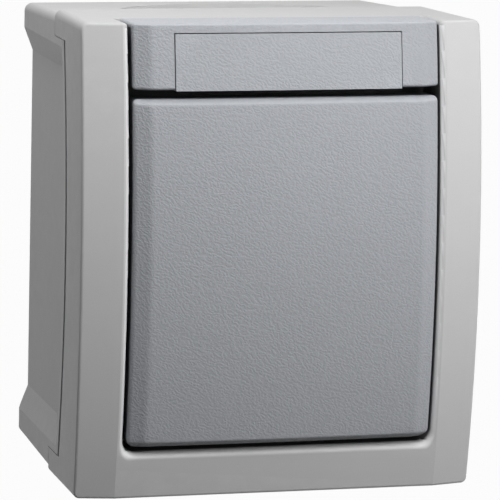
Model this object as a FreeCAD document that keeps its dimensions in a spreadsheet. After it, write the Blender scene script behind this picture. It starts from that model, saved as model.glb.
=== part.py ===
import FreeCAD, Part
import math
import os

import Sketcher

"""Surface-mounted weatherproof rocker switch.

The origin is the middle of the wall face of the rear box. The front looks along -Y, +Z is up and the
depth of a thing is its distance from the wall, so a depth d lies at y = -d. The visible front is part
of one large barrel: every front surface is turned about the same level axis far behind the wall.
"""

DOC = FreeCAD.newDocument("WeatherproofSwitch")
SHEET = DOC.addObject("Spreadsheet::Sheet", "Sizes")


class Length:
    """A length in millimetres together with the sheet expression that gives it."""

    def __init__(self, value, text):
        self.value = value
        self.text = text

    def joined(self, other, value, sign):
        return Length(value, "(" + self.text + sign + as_length(other).text + ")")

    def __add__(self, other):
        return self.joined(other, self.value + as_length(other).value, " + ")

    def __sub__(self, other):
        return self.joined(other, self.value - as_length(other).value, " - ")

    def __mul__(self, other):
        return self.joined(other, self.value * as_length(other).value, " * ")

    def __truediv__(self, other):
        return self.joined(other, self.value / as_length(other).value, " / ")

    def __neg__(self):
        return Length(-self.value, "(-" + self.text + ")")


def as_length(number):
    """Takes a length as it is and a plain count or ratio as a length without a cell."""
    if isinstance(number, Length):
        return number
    return Length(float(number), repr(float(number)))


ZERO = as_length(0)
TWO = as_length(2)


def root(square):
    """The square root of a length."""
    return Length(math.sqrt(square.value), "sqrt(" + square.text + ")")


def size(alias, value, meaning):
    """Writes one driving dimension into the next row of the sheet."""
    row = 1 + sum(1 for name in SHEET.PropertiesList if name.startswith("A") and name[1:].isdigit())
    SHEET.set("A%d" % row, alias)
    SHEET.set("B%d" % row, str(value))
    SHEET.setAlias("B%d" % row, alias)
    SHEET.set("C%d" % row, meaning)
    DOC.recompute()
    return Length(float(value), "Sizes." + alias)


# Housing as a whole

front_width = size("front_width", 70.6, "width across the outer front edges")
front_height = size("front_height", 80.4, "height of the front cover")
edge_depth = size("edge_depth", 54.8, "depth of the outer side edge of the front, at mid height")
bow_radius = size("bow_radius", 252.0, "radius of the barrel that the front edge follows")
side_taper = size("side_taper", 3.5, "how far a side leans in from the front edge to the wall")
end_taper = size("end_taper", 0.95, "how far the top of the box leans in from its mouth to the wall")
mouth_step = size("mouth_step", 0.7, "how far the cover stands over the box at top and bottom")
corner_radius = size("corner_radius", 1.4, "rounding of the two upper long corners of the housing")
foot_corner = size("foot_corner", 1.0, "rounding of the two lower long corners of the housing")
front_rounding = size("front_rounding", 0.5, "rounding of the outer front edge of the cover")
rear_rounding = size("rear_rounding", 0.5, "rounding of the box along the wall")
seam_radius = size("seam_radius", 165.0, "radius of the bowed seam along a side")
seam_gap = size("seam_gap", 0.15, "gap of the seam at the tabs, at top and at bottom")
side_seam = size("side_seam", 1.2, "width of the shadow groove between cover and box along a side")

# Front cover

cover_wall = size("cover_wall", 2.3, "wall of the front cover")
bar_width = size("bar_width", 7.9, "width of the side bars of the frame")
bottom_bar = size("bottom_bar", 7.9, "height of the bottom bar of the frame")
bar_rise = size("bar_rise", 1.6, "how far a side bar rises from its outer edge to the opening")
cover_side = size("cover_side", 12.7, "depth of the cover along its sides, at mid height")
cover_length = size("cover_length", 26.0, "depth of the cover at its top, bottom and corner tabs")
tab_height = size("tab_height", 4.4, "height of the cover's corner tabs")
opening_radius = size("opening_radius", 2.4, "corner radius at the foot of the opening")
bar_edge = size("bar_edge", 0.7, "rounding of the inner edge of the bars")
bar_land = size("bar_land", 1.0, "level land of the bars beside the opening")
floor_wall = size("floor_wall", 2.5, "thickness of the cover's inner floor")
window_width = size("window_width", 18.0, "width of the window for the actuator")
window_height = size("window_height", 15.0, "height of the window for the actuator")

# Rear box

rear_wall = size("rear_wall", 2.5, "thickness of the wall plate of the box")
box_side_wall = size("box_side_wall", 4.5, "wall of the box at a side, beside the wall plate")
box_end_wall = size("box_end_wall", 4.65, "wall of the box at top and bottom, beside the wall plate")
ledge_width = size("ledge_width", 1.8, "width of the ledge that carries the gasket")
collar_length = size("collar_length", 2.2, "how far the ledge lies behind the mouth of the box")
recess_depth = size("recess_depth", 1.65, "how deep the side recess goes in")
recess_height = size("recess_height", 60.4, "height of the floor of the side recess")
recess_slope = size("recess_slope", 4.2, "height of the slanted shelf at each end of the recess")
recess_rim = size("recess_rim", 1.8, "rim that the side recess leaves along the seam")
entry_radius = size("entry_radius", 22.0, "radius of the half-round dip at a cable entry")
entry_sink = size("entry_sink", 3.3, "how far the floor of that dip lies below the top of the cover")
entry_hole = size("entry_hole", 8.2, "radius of the hole for a cable entry membrane")
entry_back = size("entry_back", 11.7, "distance of a cable entry's middle from the mouth of the box")
fixing_side = size("fixing_side", 5.65, "distance of a wall screw from the inner side of the box")
fixing_end = size("fixing_end", 5.9, "distance of a wall screw from the inner end of the box")
fixing_radius = size("fixing_radius", 2.25, "radius of a wall screw hole")

# Rocker, band and label plate

side_gap = size("side_gap", 0.65, "gap beside the rocker and the band")
foot_gap = size("foot_gap", 1.0, "gap under the rocker")
band_height = size("band_height", 10.95, "height of the band")
band_gap = size("band_gap", 1.6, "gap between rocker and band")
face_proud = size("face_proud", 0.1, "how far the rocker's outer edge stands out of the bars")
margin_width = size("margin_width", 2.8, "width of the sloping margin of rocker and band")
margin_rise = size("margin_rise", 1.25, "rise of that margin")
margin_bend = size("margin_bend", 2.5, "radius of the soft bend inside the margin")
face_radius = size("face_radius", 740.0, "radius of the rocker's face across its width")
face_edge = size("face_edge", 0.9, "rounding of the edges of the rocker")
face_corner = size("face_corner", 1.8, "radius of the rocker's lower corners")
band_edge = size("band_edge", 0.5, "rounding of the edges of the band")
band_corner = size("band_corner", 0.6, "radius of the corners of the band")
skirt_length = size("skirt_length", 4.4, "how far the rocker's skirt reaches behind the outer front edge")
skirt_wall = size("skirt_wall", 1.9, "wall of the rocker's and the band's skirt")
plate_inset = size("plate_inset", 1.8, "how far the rocker's inner face lies behind the outer front edge")
band_inset = size("band_inset", 3.3, "how far the band's inner face lies behind the outer front edge")
band_roof = size("band_roof", 2.4, "thickness of the band's top")
label_side = size("label_side", 6.95, "width of the band on either side of the label plate")
label_over = size("label_over", 1.7, "height of the band above the label plate")
label_drop = size("label_drop", 0.15, "how far the label plate hangs below the band")
label_gap = size("label_gap", 0.18, "gap around the label plate")
label_floor = size("label_floor", 1.6, "thickness of the band behind the label plate")
label_proud = size("label_proud", 0.08, "how far the label plate stands out of the band")
label_corner = size("label_corner", 0.15, "radius of the corners of the label plate")

# Rocker bearing and actuator

pivot_inset = size("pivot_inset", 4.8, "how far the rocker's axis lies behind the outer front edge")
floor_room = size("floor_room", 4.5, "room between the cover's inner floor and the rocker's axis")
trunnion_radius = size("trunnion_radius", 1.5, "radius of the rocker's trunnions")
pivot_play = size("pivot_play", 0.05, "radial play of the trunnions and the toggle")
lug_inset = size("lug_inset", 8.35, "distance of the rocker's lugs from the inside of its skirt")
lug_wall = size("lug_wall", 2.5, "thickness of a lug and of a bearing bracket")
lug_half = size("lug_half", 2.2, "half height of a lug")
bracket_half = size("bracket_half", 4.0, "half height of a bearing bracket")
bearing_gap = size("bearing_gap", 0.3, "side gap between lug and bracket")
fork_arm = size("fork_arm", 7.0, "distance of the toggle's tip from the rocker's axis")
prong_wall = size("prong_wall", 1.5, "thickness of a prong of the rocker's fork")
prong_half = size("prong_half", 3.2, "half width of the fork")
fork_play = size("fork_play", 0.15, "play of the toggle's tip in the fork")
fork_over = size("fork_over", 1.7, "how far the fork reaches past the middle of the toggle's tip")
seal_wall = size("seal_wall", 1.0, "thickness of the actuator seal")
seal_lip = size("seal_lip", 0.85, "room between the fork and the lip of the seal")

# Switching mechanism

toggle_arm = size("toggle_arm", 4.5, "distance of the toggle's tip from its axle")
tip_radius = size("tip_radius", 1.5, "radius of the toggle's tip")
axle_radius = size("axle_radius", 1.0, "radius of the toggle's axle")
axle_inset = size("axle_inset", 0.8, "how far the axle ends inside the faces of the cheeks")
hub_radius = size("hub_radius", 2.2, "radius of the toggle's hub")
toggle_half = size("toggle_half", 4.0, "half width of the toggle")
leg_length = size("leg_length", 5.0, "length of the toggle's leg behind its axle")
leg_room = size("leg_room", 0.5, "distance of the leg's end from the back of the support plate")
cheek_over = size("cheek_over", 1.9, "how far the cheeks reach past the toggle's axle")
cheek_wall = size("cheek_wall", 3.0, "thickness of a cheek")
cheek_height = size("cheek_height", 22.0, "height of the mechanism's front part")
plate_wall = size("plate_wall", 1.2, "thickness of the support plate")
base_room = size("base_room", 1.0, "room between the mechanism base and a post")
base_height = size("base_height", 33.0, "height of the mechanism base")
base_length = size("base_length", 18.0, "depth of the mechanism base")
well_depth = size("well_depth", 5.5, "depth of the contact well")
bore_radius = size("bore_radius", 1.25, "radius of the plunger's bore")
plunger_radius = size("plunger_radius", 1.1, "radius of the plunger")
nose_gap = size("nose_gap", 0.2, "gap between the plunger's nose and the level contact lever")
wire_radius = size("wire_radius", 0.16, "radius of the spring's wire")
strip_wall = size("strip_wall", 0.8, "thickness of the brass strips")
strip_half = size("strip_half", 2.0, "half width of the brass strips")
lever_lift = size("lever_lift", 2.7, "distance of the contact lever from the floor of the well")
lever_gap = size("lever_gap", 0.12, "gap between the lever and the saddle's edge")
lever_half = size("lever_half", 9.5, "half length of the contact lever")
contact_z = size("contact_z", 8.0, "distance of a contact from the middle")
contact_radius = size("contact_radius", 1.3, "radius of a contact rivet")
contact_head = size("contact_head", 0.7, "height of the moving contact rivets")
contact_seat = size("contact_seat", 0.4, "height of the fixed contact rivets")
clamp_width = size("clamp_width", 6.0, "width of a terminal clamp")
clamp_length = size("clamp_length", 8.0, "length of a terminal clamp")
clamp_side = size("clamp_side", 7.0, "distance of a clamp's middle from the side of the base")
clamp_sunk = size("clamp_sunk", 10.8, "how far the back of a clamp lies behind the support plate")
wire_hole = size("wire_hole", 1.6, "radius of a wire hole")

# Screws, gasket and membranes

screw_radius = size("screw_radius", 1.5, "radius of the cover and mechanism screws")
screw_head = size("screw_head", 3.0, "radius of their heads")
head_height = size("head_height", 1.8, "height of their heads")
post_radius = size("post_radius", 3.5, "radius of the posts in the box")
cover_screw_inset = size("cover_screw_inset", 3.9, "distance of a cover screw from the side of the opening")
cover_screw_end = size("cover_screw_end", 8.0, "distance of a cover screw from a wall screw, up or down")
clamp_screw = size("clamp_screw", 1.2, "radius of a clamp screw")
clamp_head = size("clamp_head", 2.4, "radius of a clamp screw's head")
slot_width = size("slot_width", 0.8, "width of a screw slot")
earth_x = size("earth_x", 11.0, "distance of the earth terminal from the middle")
gasket_height = size("gasket_height", 2.0, "thickness of the gasket")
rib_wall = size("rib_wall", 1.5, "wall of the rib that presses on the gasket")
close_gap = size("close_gap", 0.1, "clearance between pieces that seat on each other")
reach = size("reach", 12.0, "how far a cut runs on past the piece")

# Places worked out from the driving dimensions

half_front = front_width / TWO
half_height = front_height / TWO
bow_axis = edge_depth - bow_radius
crest_depth = edge_depth + bar_rise
seam_axis = edge_depth - cover_side - seam_radius
tab_depth = edge_depth - cover_length
tab_foot = half_height - tab_height
opening_half = half_front - bar_width
opening_foot = bottom_bar - half_height
rear_width = front_width - side_taper * TWO
rear_height = front_height - (mouth_step + end_taper) * TWO
box_inside_width = rear_width - box_side_wall * TWO
box_inside_height = rear_height - box_end_wall * TWO
collar_width = box_inside_width + ledge_width * TWO
collar_height = box_inside_height + ledge_width * TWO
ledge_depth = tab_depth - collar_length
entry_floor = half_height - entry_sink
entry_depth = tab_depth - entry_back
fixing_x = box_inside_width - fixing_side * TWO
fixing_z = box_inside_height - fixing_end * TWO
rocker_half = opening_half - side_gap
rocker_foot = opening_foot + foot_gap
band_foot = half_height - band_height
rocker_top = band_foot - band_gap
rocker_middle = (rocker_foot + rocker_top) / TWO
face_depth = crest_depth + face_proud + margin_rise
skirt_depth = edge_depth - skirt_length
plate_back = edge_depth - plate_inset
band_back = edge_depth - band_inset
label_back = band_back + label_floor
label_half = rocker_half - label_side
label_foot = band_foot - label_drop
label_top = half_height - label_over
pivot_depth = edge_depth - pivot_inset
floor_depth = pivot_depth - floor_room
floor_back = floor_depth - floor_wall
lug_x = rocker_half - skirt_wall - lug_inset
tip_depth = pivot_depth - fork_arm
fork_end = tip_depth - fork_over
toggle_depth = tip_depth - toggle_arm
cheek_depth = toggle_depth + cheek_over
cheek_half = toggle_half + bearing_gap + cheek_wall
leg_depth = toggle_depth - leg_length
plate_depth = leg_depth - leg_room
plate_front = plate_depth + plate_wall
base_depth = plate_depth - base_length
floor_of_well = plate_depth - well_depth
strip_front = floor_of_well + strip_wall
lever_depth = floor_of_well + lever_lift
lever_front = lever_depth + strip_wall
plunger_depth = lever_front + nose_gap
clamp_depth = plate_depth - clamp_sunk
clamp_front = clamp_depth + clamp_length
cover_screw_x = opening_half - cover_screw_inset
cover_screw_z = fixing_z / TWO - cover_screw_end
base_half = cover_screw_x - post_radius - base_room
fix_half = base_height / TWO + base_room + post_radius
clamp_x = base_half - clamp_side
BOW_SWEEP = 50.0


def half_width_at(depth):
    """Half the width of the housing at a depth: the sides widen evenly towards the front."""
    return half_front - side_taper * (edge_depth - depth) / edge_depth


def half_box_height_at(depth):
    """Half the height of the rear box at a depth."""
    return half_height - mouth_step - end_taper * (tab_depth - depth) / tab_depth


def seam_depth(radius, height):
    """Depth of the bowed seam, or of a line that follows it, at a height from the middle."""
    return seam_axis + root(radius * radius - height * height)


# Drawing and feature tools


def bind(item, path, length):
    """Ties a property of an object to the sheet."""
    item.setExpression(path, length.text)


def new_body(label):
    """A body that carries the name of its piece."""
    body = DOC.addObject("PartDesign::Body", label)
    body.Label = label
    return body


def origin_plane(body, role):
    """One of the body's own origin planes."""
    return next(item for item in body.Origin.OriginFeatures if item.Role == role)


def sketch_on(body, role, offset, name):
    """A sketch parallel to an origin plane: the front plane's offset is a depth."""
    sketch = body.newObject("Sketcher::SketchObject", body.Name + "_" + name)
    sketch.AttachmentSupport = [(origin_plane(body, role), "")]
    sketch.MapMode = "FlatFace"
    bind(sketch, "AttachmentOffset.Base.z", offset)
    return sketch


def front_sketch(body, depth, name):
    """A sketch that faces the front, with X and Z."""
    return sketch_on(body, "XZ_Plane", depth, name)


def plan_sketch(body, height, name):
    """A level sketch, with X and Y."""
    return sketch_on(body, "XY_Plane", height, name)


def side_sketch(body, place, name):
    """A sketch that faces the side, with Y and Z."""
    return sketch_on(body, "YZ_Plane", place, name)


def fix_point(sketch, geometry, point, place):
    """Holds one point of a sketch at its place from the sheet."""
    for kind, axis, length in (("DistanceX", -2, place[0]), ("DistanceY", -1, place[1])):
        if length is ZERO:
            sketch.addConstraint(Sketcher.Constraint("PointOnObject", geometry, point, axis))
            continue
        index = sketch.addConstraint(Sketcher.Constraint(kind, -1, 1, geometry, point, length.value))
        name = "%s_%d_%d" % (kind.lower(), geometry, point)
        sketch.renameConstraint(index, name)
        bind(sketch, "Constraints." + name, length)


def fix_radius(sketch, geometry, radius):
    """Holds the radius of an arc or circle."""
    index = sketch.addConstraint(Sketcher.Constraint("Radius", geometry, radius.value))
    sketch.renameConstraint(index, "radius_%d" % geometry)
    bind(sketch, "Constraints.radius_%d" % geometry, radius)


def arc_between(start, end, radius):
    """The short arc from start to end: counter-clockwise for a positive radius."""
    chord = end - start
    lift = math.sqrt(radius * radius - chord.Length ** 2 / 4)
    across = FreeCAD.Vector(-chord.y, chord.x, 0).normalize()
    centre = (start + end) / 2 + across * math.copysign(lift, radius)
    first, last = (start, end) if radius > 0 else (end, start)
    angles = [math.atan2(place.y - centre.y, place.x - centre.x) for place in (first, last)]
    circle = Part.Circle(centre, FreeCAD.Vector(0, 0, 1), abs(radius))
    return Part.ArcOfCircle(circle, angles[0], angles[1])


def outline(sketch, corners):
    """A closed outline. A corner is (x, y), or (x, y, radius) where the run to the next one is an arc."""
    first = sketch.GeometryCount
    ends = []
    for index, corner in enumerate(corners):
        following = corners[(index + 1) % len(corners)]
        start = FreeCAD.Vector(corner[0].value, corner[1].value, 0)
        end = FreeCAD.Vector(following[0].value, following[1].value, 0)
        if len(corner) == 2:
            sketch.addGeometry(Part.LineSegment(start, end), False)
            ends.append((1, 2))
        else:
            sketch.addGeometry(arc_between(start, end, corner[2].value), False)
            ends.append((1, 2) if corner[2].value > 0 else (2, 1))
    for index, corner in enumerate(corners):
        following = (index + 1) % len(corners)
        sketch.addConstraint(Sketcher.Constraint(
            "Coincident", first + index, ends[index][1], first + following, ends[following][0]))
    for index, corner in enumerate(corners):
        fix_point(sketch, first + index, ends[index][0], corner)
        if len(corner) == 3:
            radius = corner[2] if corner[2].value > 0 else -corner[2]
            fix_radius(sketch, first + index, radius)


def rectangle(sketch, left, right, foot, top):
    """An upright rectangle between four places."""
    outline(sketch, [(left, foot), (right, foot), (right, top), (left, top)])


def centred(sketch, half_x, half_y, middle=ZERO):
    """A rectangle about the vertical centre line."""
    if middle is ZERO:
        rectangle(sketch, -half_x, half_x, -half_y, half_y)
    else:
        rectangle(sketch, -half_x, half_x, middle - half_y, middle + half_y)


def circle(sketch, across, up, radius):
    """A circle held by its centre and radius."""
    centre = FreeCAD.Vector(across.value, up.value, 0)
    index = sketch.addGeometry(Part.Circle(centre, FreeCAD.Vector(0, 0, 1), radius.value), False)
    fix_point(sketch, index, 3, (across, up))
    fix_radius(sketch, index, radius)


def solid_from(kind, sketch, length, reverse, symmetric):
    """Adds or removes the prism over a sketch."""
    body = sketch.getParentGeoFeatureGroup()
    feature = body.newObject("PartDesign::" + kind, sketch.Name + "_" + kind)
    feature.Profile = sketch
    feature.Midplane = symmetric
    feature.Reversed = reverse
    bind(feature, "Length", length)
    return feature


def pad(sketch, length, reverse=False, symmetric=False):
    """Adds a prism; a front sketch grows towards the front."""
    return solid_from("Pad", sketch, length, reverse, symmetric)


def pocket(sketch, length, reverse=False, symmetric=False):
    """Removes a prism; a front sketch is cut towards the wall, and reversed towards the front."""
    return solid_from("Pocket", sketch, length, reverse, symmetric)


def turned(kind, sketch, axis, angle=360.0):
    """Turns a sketch about a construction line of its own."""
    body = sketch.getParentGeoFeatureGroup()
    line = sketch.addGeometry(Part.LineSegment(*[FreeCAD.Vector(x.value, y.value, 0) for x, y in axis]), True)
    for point, place in enumerate(axis, 1):
        fix_point(sketch, line, point, place)
    feature = body.newObject("PartDesign::" + kind, sketch.Name + "_" + kind)
    feature.Profile = sketch
    feature.ReferenceAxis = (sketch, ["Axis0"])
    feature.Midplane = angle < 360.0
    feature.Angle = angle
    return feature


def lofted(kind, sketches):
    """A straight loft through rectangles or other outlines with the same number of runs."""
    body = sketches[0].getParentGeoFeatureGroup()
    feature = body.newObject("PartDesign::" + kind, sketches[0].Name + "_" + kind)
    feature.Profile = sketches[0]
    feature.Sections = sketches[1:]
    feature.Ruled = True
    return feature


def mirrored(body, feature, role):
    """Repeats a feature on the other side of an origin plane."""
    mirror = body.newObject("PartDesign::Mirrored", feature.Name + "_other_side")
    mirror.Originals = [feature]
    mirror.MirrorPlane = (origin_plane(body, role), [""])
    body.Tip = mirror
    return mirror


def rounded(body, radius, wanted, name):
    """Rounds each edge of the body that the test picks."""
    DOC.recompute()
    tip = body.Tip
    edges = ["Edge%d" % number for number, edge in enumerate(tip.Shape.Edges, 1) if wanted(edge)]
    feature = body.newObject("PartDesign::Fillet", body.Name + "_" + name)
    feature.Base = (tip, edges)
    bind(feature, "Radius", radius)
    return feature


def spans(edge):
    """The extents of an edge along X, Y and Z."""
    box = edge.BoundBox
    return box.XLength, box.YLength, box.ZLength


def runs_in_depth(edge):
    """True for an edge that runs mainly from back to front."""
    across, depth, up = spans(edge)
    return depth > 4 * max(across, up)


def barrel_cut(body, corners, name):
    """Cuts the bowed front: the plan outline in front of the surface is turned about the barrel's axis."""
    sketch = plan_sketch(body, ZERO, name)
    outline(sketch, [(corner[0], -corner[1]) + tuple(corner[2:]) for corner in corners])
    far = half_front
    return turned("Groove", sketch, [(-far, -bow_axis), (far, -bow_axis)], BOW_SWEEP)


def frame_front(body):
    """The front of the frame: its bars slope back from the opening to the outer edges."""
    out = half_front + reach
    crease = opening_half + bar_land
    low = crest_depth - bar_rise * (bar_width - bar_land + reach) / (bar_width - bar_land)
    far = face_depth + reach
    barrel_cut(body, [(-out, low), (-crease, crest_depth), (crease, crest_depth), (out, low),
                      (out, far), (-out, far)], "front")


def face_front(body, proud, name):
    """The front of rocker, band and label plate: a wide shallow arc between two sloping margins."""
    inner = rocker_half - margin_width
    out = rocker_half + margin_width
    low = face_depth + proud - margin_rise * TWO
    top = face_depth + proud
    far = face_depth + reach
    barrel_cut(body, [(-out, low), (-inner, top, face_radius), (inner, top), (out, low),
                      (out, far), (-out, far)], name)


def seam_outline(sketch, radius, half, back):
    """The side profile between the corner tabs, from a depth forward to the bowed seam."""
    start = seam_depth(radius, half)
    outline(sketch, [(-back, half), (-start, half, radius), (-start, -half), (-back, -half)])


# Housing


def build_front_cover():
    """The deep frame: bowed front, opening without a top bar, corner tabs, inner floor and rib."""
    body = new_body("front_cover")
    back = front_sketch(body, tab_depth, "back")
    centred(back, half_width_at(tab_depth), half_height)
    front_depth = face_depth + reach / TWO
    front = front_sketch(body, front_depth, "end")
    centred(front, half_width_at(front_depth), half_height)
    lofted("AdditiveLoft", [back, front])
    round_long_corners(body)
    frame_front(body)
    cut_opening(body)
    rounded(body, front_rounding, is_front_outline, "front_edge")
    rounded(body, bar_edge, is_bar_inner_edge, "bar_edges")
    side = side_sketch(body, ZERO, "seam")
    seam_outline(side, seam_radius, tab_foot, ZERO)
    pocket(side, front_width * TWO, symmetric=True)
    hollow_front_cover(body)
    return body


def round_long_corners(body):
    """The long corners of the housing: full at the top, tight at the foot."""
    rounded(body, corner_radius, lambda edge: runs_in_depth(edge) and edge.BoundBox.ZMin > 0, "top_corners")
    rounded(body, foot_corner, lambda edge: runs_in_depth(edge) and edge.BoundBox.ZMax < 0, "foot_corners")


def cut_opening(body):
    """The opening for rocker and band, open at the top."""
    opening = front_sketch(body, floor_depth, "opening")
    radius = opening_radius
    top = half_height + reach
    outline(opening, [(-opening_half, top), (-opening_half, opening_foot + radius, radius),
                      (radius - opening_half, opening_foot), (opening_half - radius, opening_foot, radius),
                      (opening_half, opening_foot + radius), (opening_half, top)])
    pocket(opening, reach * TWO, reverse=True)


def is_front_outline(edge):
    """True for the outer outline of the bowed front: both sides, the corners, top and bottom."""
    box = edge.BoundBox
    if box.YMax > -(floor_depth + floor_wall).value or runs_in_depth(edge):
        return False
    beside = box.XLength < 0.5 and abs(box.Center.x) > half_front.value - 0.5
    level = box.ZLength < 1e-4 and abs(box.ZMin) > half_height.value - 1e-4
    small = max(box.XLength, box.ZLength) < corner_radius.value * 1.1
    corner = small and abs(box.Center.x) > half_front.value - bar_width.value / 2
    return beside or level or corner


def hollow_front_cover(body):
    """Everything that is open or stands inside the cover."""
    inside = front_sketch(body, tab_depth, "inside")
    centred(inside, half_width_at(tab_depth) - cover_wall, half_height - cover_wall)
    pocket(inside, floor_back - tab_depth, reverse=True)
    window = front_sketch(body, floor_depth, "window")
    centred(window, window_width / TWO, window_height / TWO, rocker_middle)
    pocket(window, floor_wall)
    rib = front_sketch(body, ledge_depth + gasket_height + close_gap, "rib")
    rib_x = collar_width / TWO - close_gap * TWO
    rib_z = collar_height / TWO - close_gap * TWO
    centred(rib, rib_x, rib_z)
    centred(rib, rib_x - rib_wall, rib_z - rib_wall)
    pad(rib, floor_back - ledge_depth - gasket_height)
    holes = front_sketch(body, floor_depth, "holes")
    for across, up in ((-cover_screw_x, cover_screw_z), (cover_screw_x, -cover_screw_z)):
        circle(holes, across, up, screw_radius + close_gap)
    pocket(holes, floor_wall)
    add_bearings(body)


def is_bar_inner_edge(edge):
    """True for the bowed edges between the bars' fronts and the opening."""
    box = edge.BoundBox
    if box.YMax > -floor_depth.value - 1 or runs_in_depth(edge) or abs(box.Center.x) > opening_half.value + 0.01:
        return False
    beside = box.XLength < 0.01 and abs(box.XMin) > opening_half.value - 0.01 and box.ZMin > opening_foot.value
    corner_top = opening_foot.value + opening_radius.value + 0.01
    below = opening_foot.value - 0.01 < box.ZMin and box.ZMax < corner_top
    return beside or below


def add_bearings(body):
    """Two brackets on the inner floor that hold the rocker's trunnions."""
    brackets = front_sketch(body, floor_depth, "brackets")
    inner = lug_x + lug_wall / TWO + bearing_gap
    foot = rocker_middle - bracket_half
    top = rocker_middle + bracket_half
    rectangle(brackets, inner, inner + lug_wall, foot, top)
    rectangle(brackets, -(inner + lug_wall), -inner, foot, top)
    pad(brackets, pivot_depth + trunnion_radius + pivot_play + bearing_gap * TWO - floor_depth)
    bearing = side_sketch(body, ZERO, "bearing")
    circle(bearing, -pivot_depth, rocker_middle, trunnion_radius + pivot_play)
    pocket(bearing, (inner + lug_wall + close_gap) * TWO, symmetric=True)


def build_recess_tool(name, sign):
    """The solid that is taken out of one side of the box: a flat with a slanted shelf at each end."""
    tool = new_body(name)
    ends = []
    for depth, title in ((-recess_rim, "wall"), (edge_depth, "front")):
        sketch = front_sketch(tool, depth, title)
        outer = half_width_at(depth) + recess_depth / TWO
        inner = half_width_at(depth) - recess_depth
        low = recess_height / TWO
        high = low + recess_slope * 1.5
        corners = [(outer, high), (inner, low), (inner, -low), (outer, -high)]
        outline(sketch, [(across * sign, up) for across, up in corners])
        ends.append(sketch)
    lofted("AdditiveLoft", ends)
    front = side_sketch(tool, ZERO, "trim")
    radius = seam_radius - side_seam - recess_rim
    half = recess_height
    start = seam_depth(radius, half)
    outline(front, [(-start, half, radius), (-start, -half), (-edge_depth * TWO, -half), (-edge_depth * TWO, half)])
    pocket(front, front_width * TWO, symmetric=True)
    return tool


def build_rear_box():
    """The box: drafted sides with bowed ears, ledge for the gasket, cable entries, posts and wall holes."""
    body = new_body("box_shell")
    back = front_sketch(body, ZERO, "back")
    centred(back, half_width_at(ZERO), half_box_height_at(ZERO))
    front = front_sketch(body, edge_depth, "end")
    centred(front, half_width_at(edge_depth), half_box_height_at(edge_depth))
    lofted("AdditiveLoft", [back, front])
    round_long_corners(body)
    rounded(body, rear_rounding, lambda edge: edge.BoundBox.YMin > -0.01, "wall_edge")
    trim_mouth(body)
    ledge = front_sketch(body, rear_wall, "inside")
    centred(ledge, box_inside_width / TWO, box_inside_height / TWO)
    pocket(ledge, edge_depth, reverse=True)
    collar = front_sketch(body, ledge_depth, "collar")
    centred(collar, collar_width / TWO, collar_height / TWO)
    pocket(collar, edge_depth, reverse=True)
    cut_cable_entries(body)
    add_posts(body)
    holes = front_sketch(body, ZERO, "wall_holes")
    for across in (-fixing_x / TWO, fixing_x / TWO):
        for up in (-fixing_z / TWO, fixing_z / TWO):
            circle(holes, across, up, fixing_radius)
    pocket(holes, rear_wall + close_gap, reverse=True)
    left = build_recess_tool("recess_left", -1)
    right = build_recess_tool("recess_right", 1)
    one_side = DOC.addObject("Part::Cut", "box_one_side")
    one_side.Base = body
    one_side.Tool = left
    box = DOC.addObject("Part::Cut", "rear_box")
    box.Base = one_side
    box.Tool = right
    box.Label = "rear_box"
    return box


def trim_mouth(body):
    """Trims the front of the box: low at top and bottom, with an ear on each side that follows the seam."""
    sketch = side_sketch(body, ZERO, "mouth")
    radius = seam_radius - side_seam
    half = tab_foot - seam_gap
    start = seam_depth(radius, half)
    low = tab_depth - seam_gap
    out = half_height + reach
    far = edge_depth + reach
    outline(sketch, [(-low, out), (-low, half), (-start, half, radius), (-start, -half), (-low, -half),
                     (-low, -out), (-far, -out), (-far, out)])
    pocket(sketch, front_width * TWO, symmetric=True)


def cut_cable_entries(body):
    """A half-round dip with a membrane hole, in the top and in the bottom of the box."""
    dip = plan_sketch(body, half_height, "dip")
    circle(dip, ZERO, -tab_depth, entry_radius)
    mirrored(body, pocket(dip, half_height - entry_floor), "XY_Plane")
    hole = plan_sketch(body, half_height, "entry")
    circle(hole, ZERO, -entry_depth, entry_hole)
    mirrored(body, pocket(hole, half_height - box_inside_height / TWO + rear_wall), "XY_Plane")


def add_posts(body):
    """Screw posts on the wall plate: two reach the cover's floor, two carry the support plate."""
    tall = [(-cover_screw_x, cover_screw_z), (cover_screw_x, -cover_screw_z)]
    short = [(ZERO, rocker_middle + fix_half), (ZERO, rocker_middle - fix_half)]
    for name, places, end in (("cover_posts", tall, floor_back - close_gap), ("plate_posts", short, plate_depth)):
        posts = front_sketch(body, rear_wall, name)
        bores = front_sketch(body, end, name + "_bores")
        for across, up in places:
            circle(posts, across, up, post_radius)
            circle(bores, across, up, screw_radius + pivot_play)
        pad(posts, end - rear_wall)
        pocket(bores, end - rear_wall * TWO)


# Visible front


def build_rocker():
    """The rocker: bowed plate with sloping margins, a skirt all round, lugs with trunnions and a fork."""
    body = new_body("rocker")
    block = front_sketch(body, skirt_depth, "block")
    rectangle(block, -rocker_half, rocker_half, rocker_foot, rocker_top)
    pad(block, face_depth + reach / TWO - skirt_depth)
    rounded(body, face_corner, lambda edge: runs_in_depth(edge) and edge.BoundBox.ZMax < 0, "lower_corners")
    rounded(body, face_edge, lambda edge: runs_in_depth(edge) and edge.BoundBox.ZMin > 0, "upper_corners")
    face_front(body, ZERO, "face")
    inner = (rocker_half - margin_width).value
    rounded(body, margin_bend, lambda edge: abs(abs(edge.BoundBox.Center.x) - inner) < 0.2
            and edge.BoundBox.ZLength > inner, "bends")
    rounded(body, face_edge, is_face_edge, "edges")
    inside = front_sketch(body, skirt_depth, "inside")
    rectangle(inside, skirt_wall - rocker_half, rocker_half - skirt_wall,
              rocker_foot + skirt_wall, rocker_top - skirt_wall)
    pocket(inside, plate_back - skirt_depth, reverse=True)
    add_rocker_bearing(body)
    return body


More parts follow.
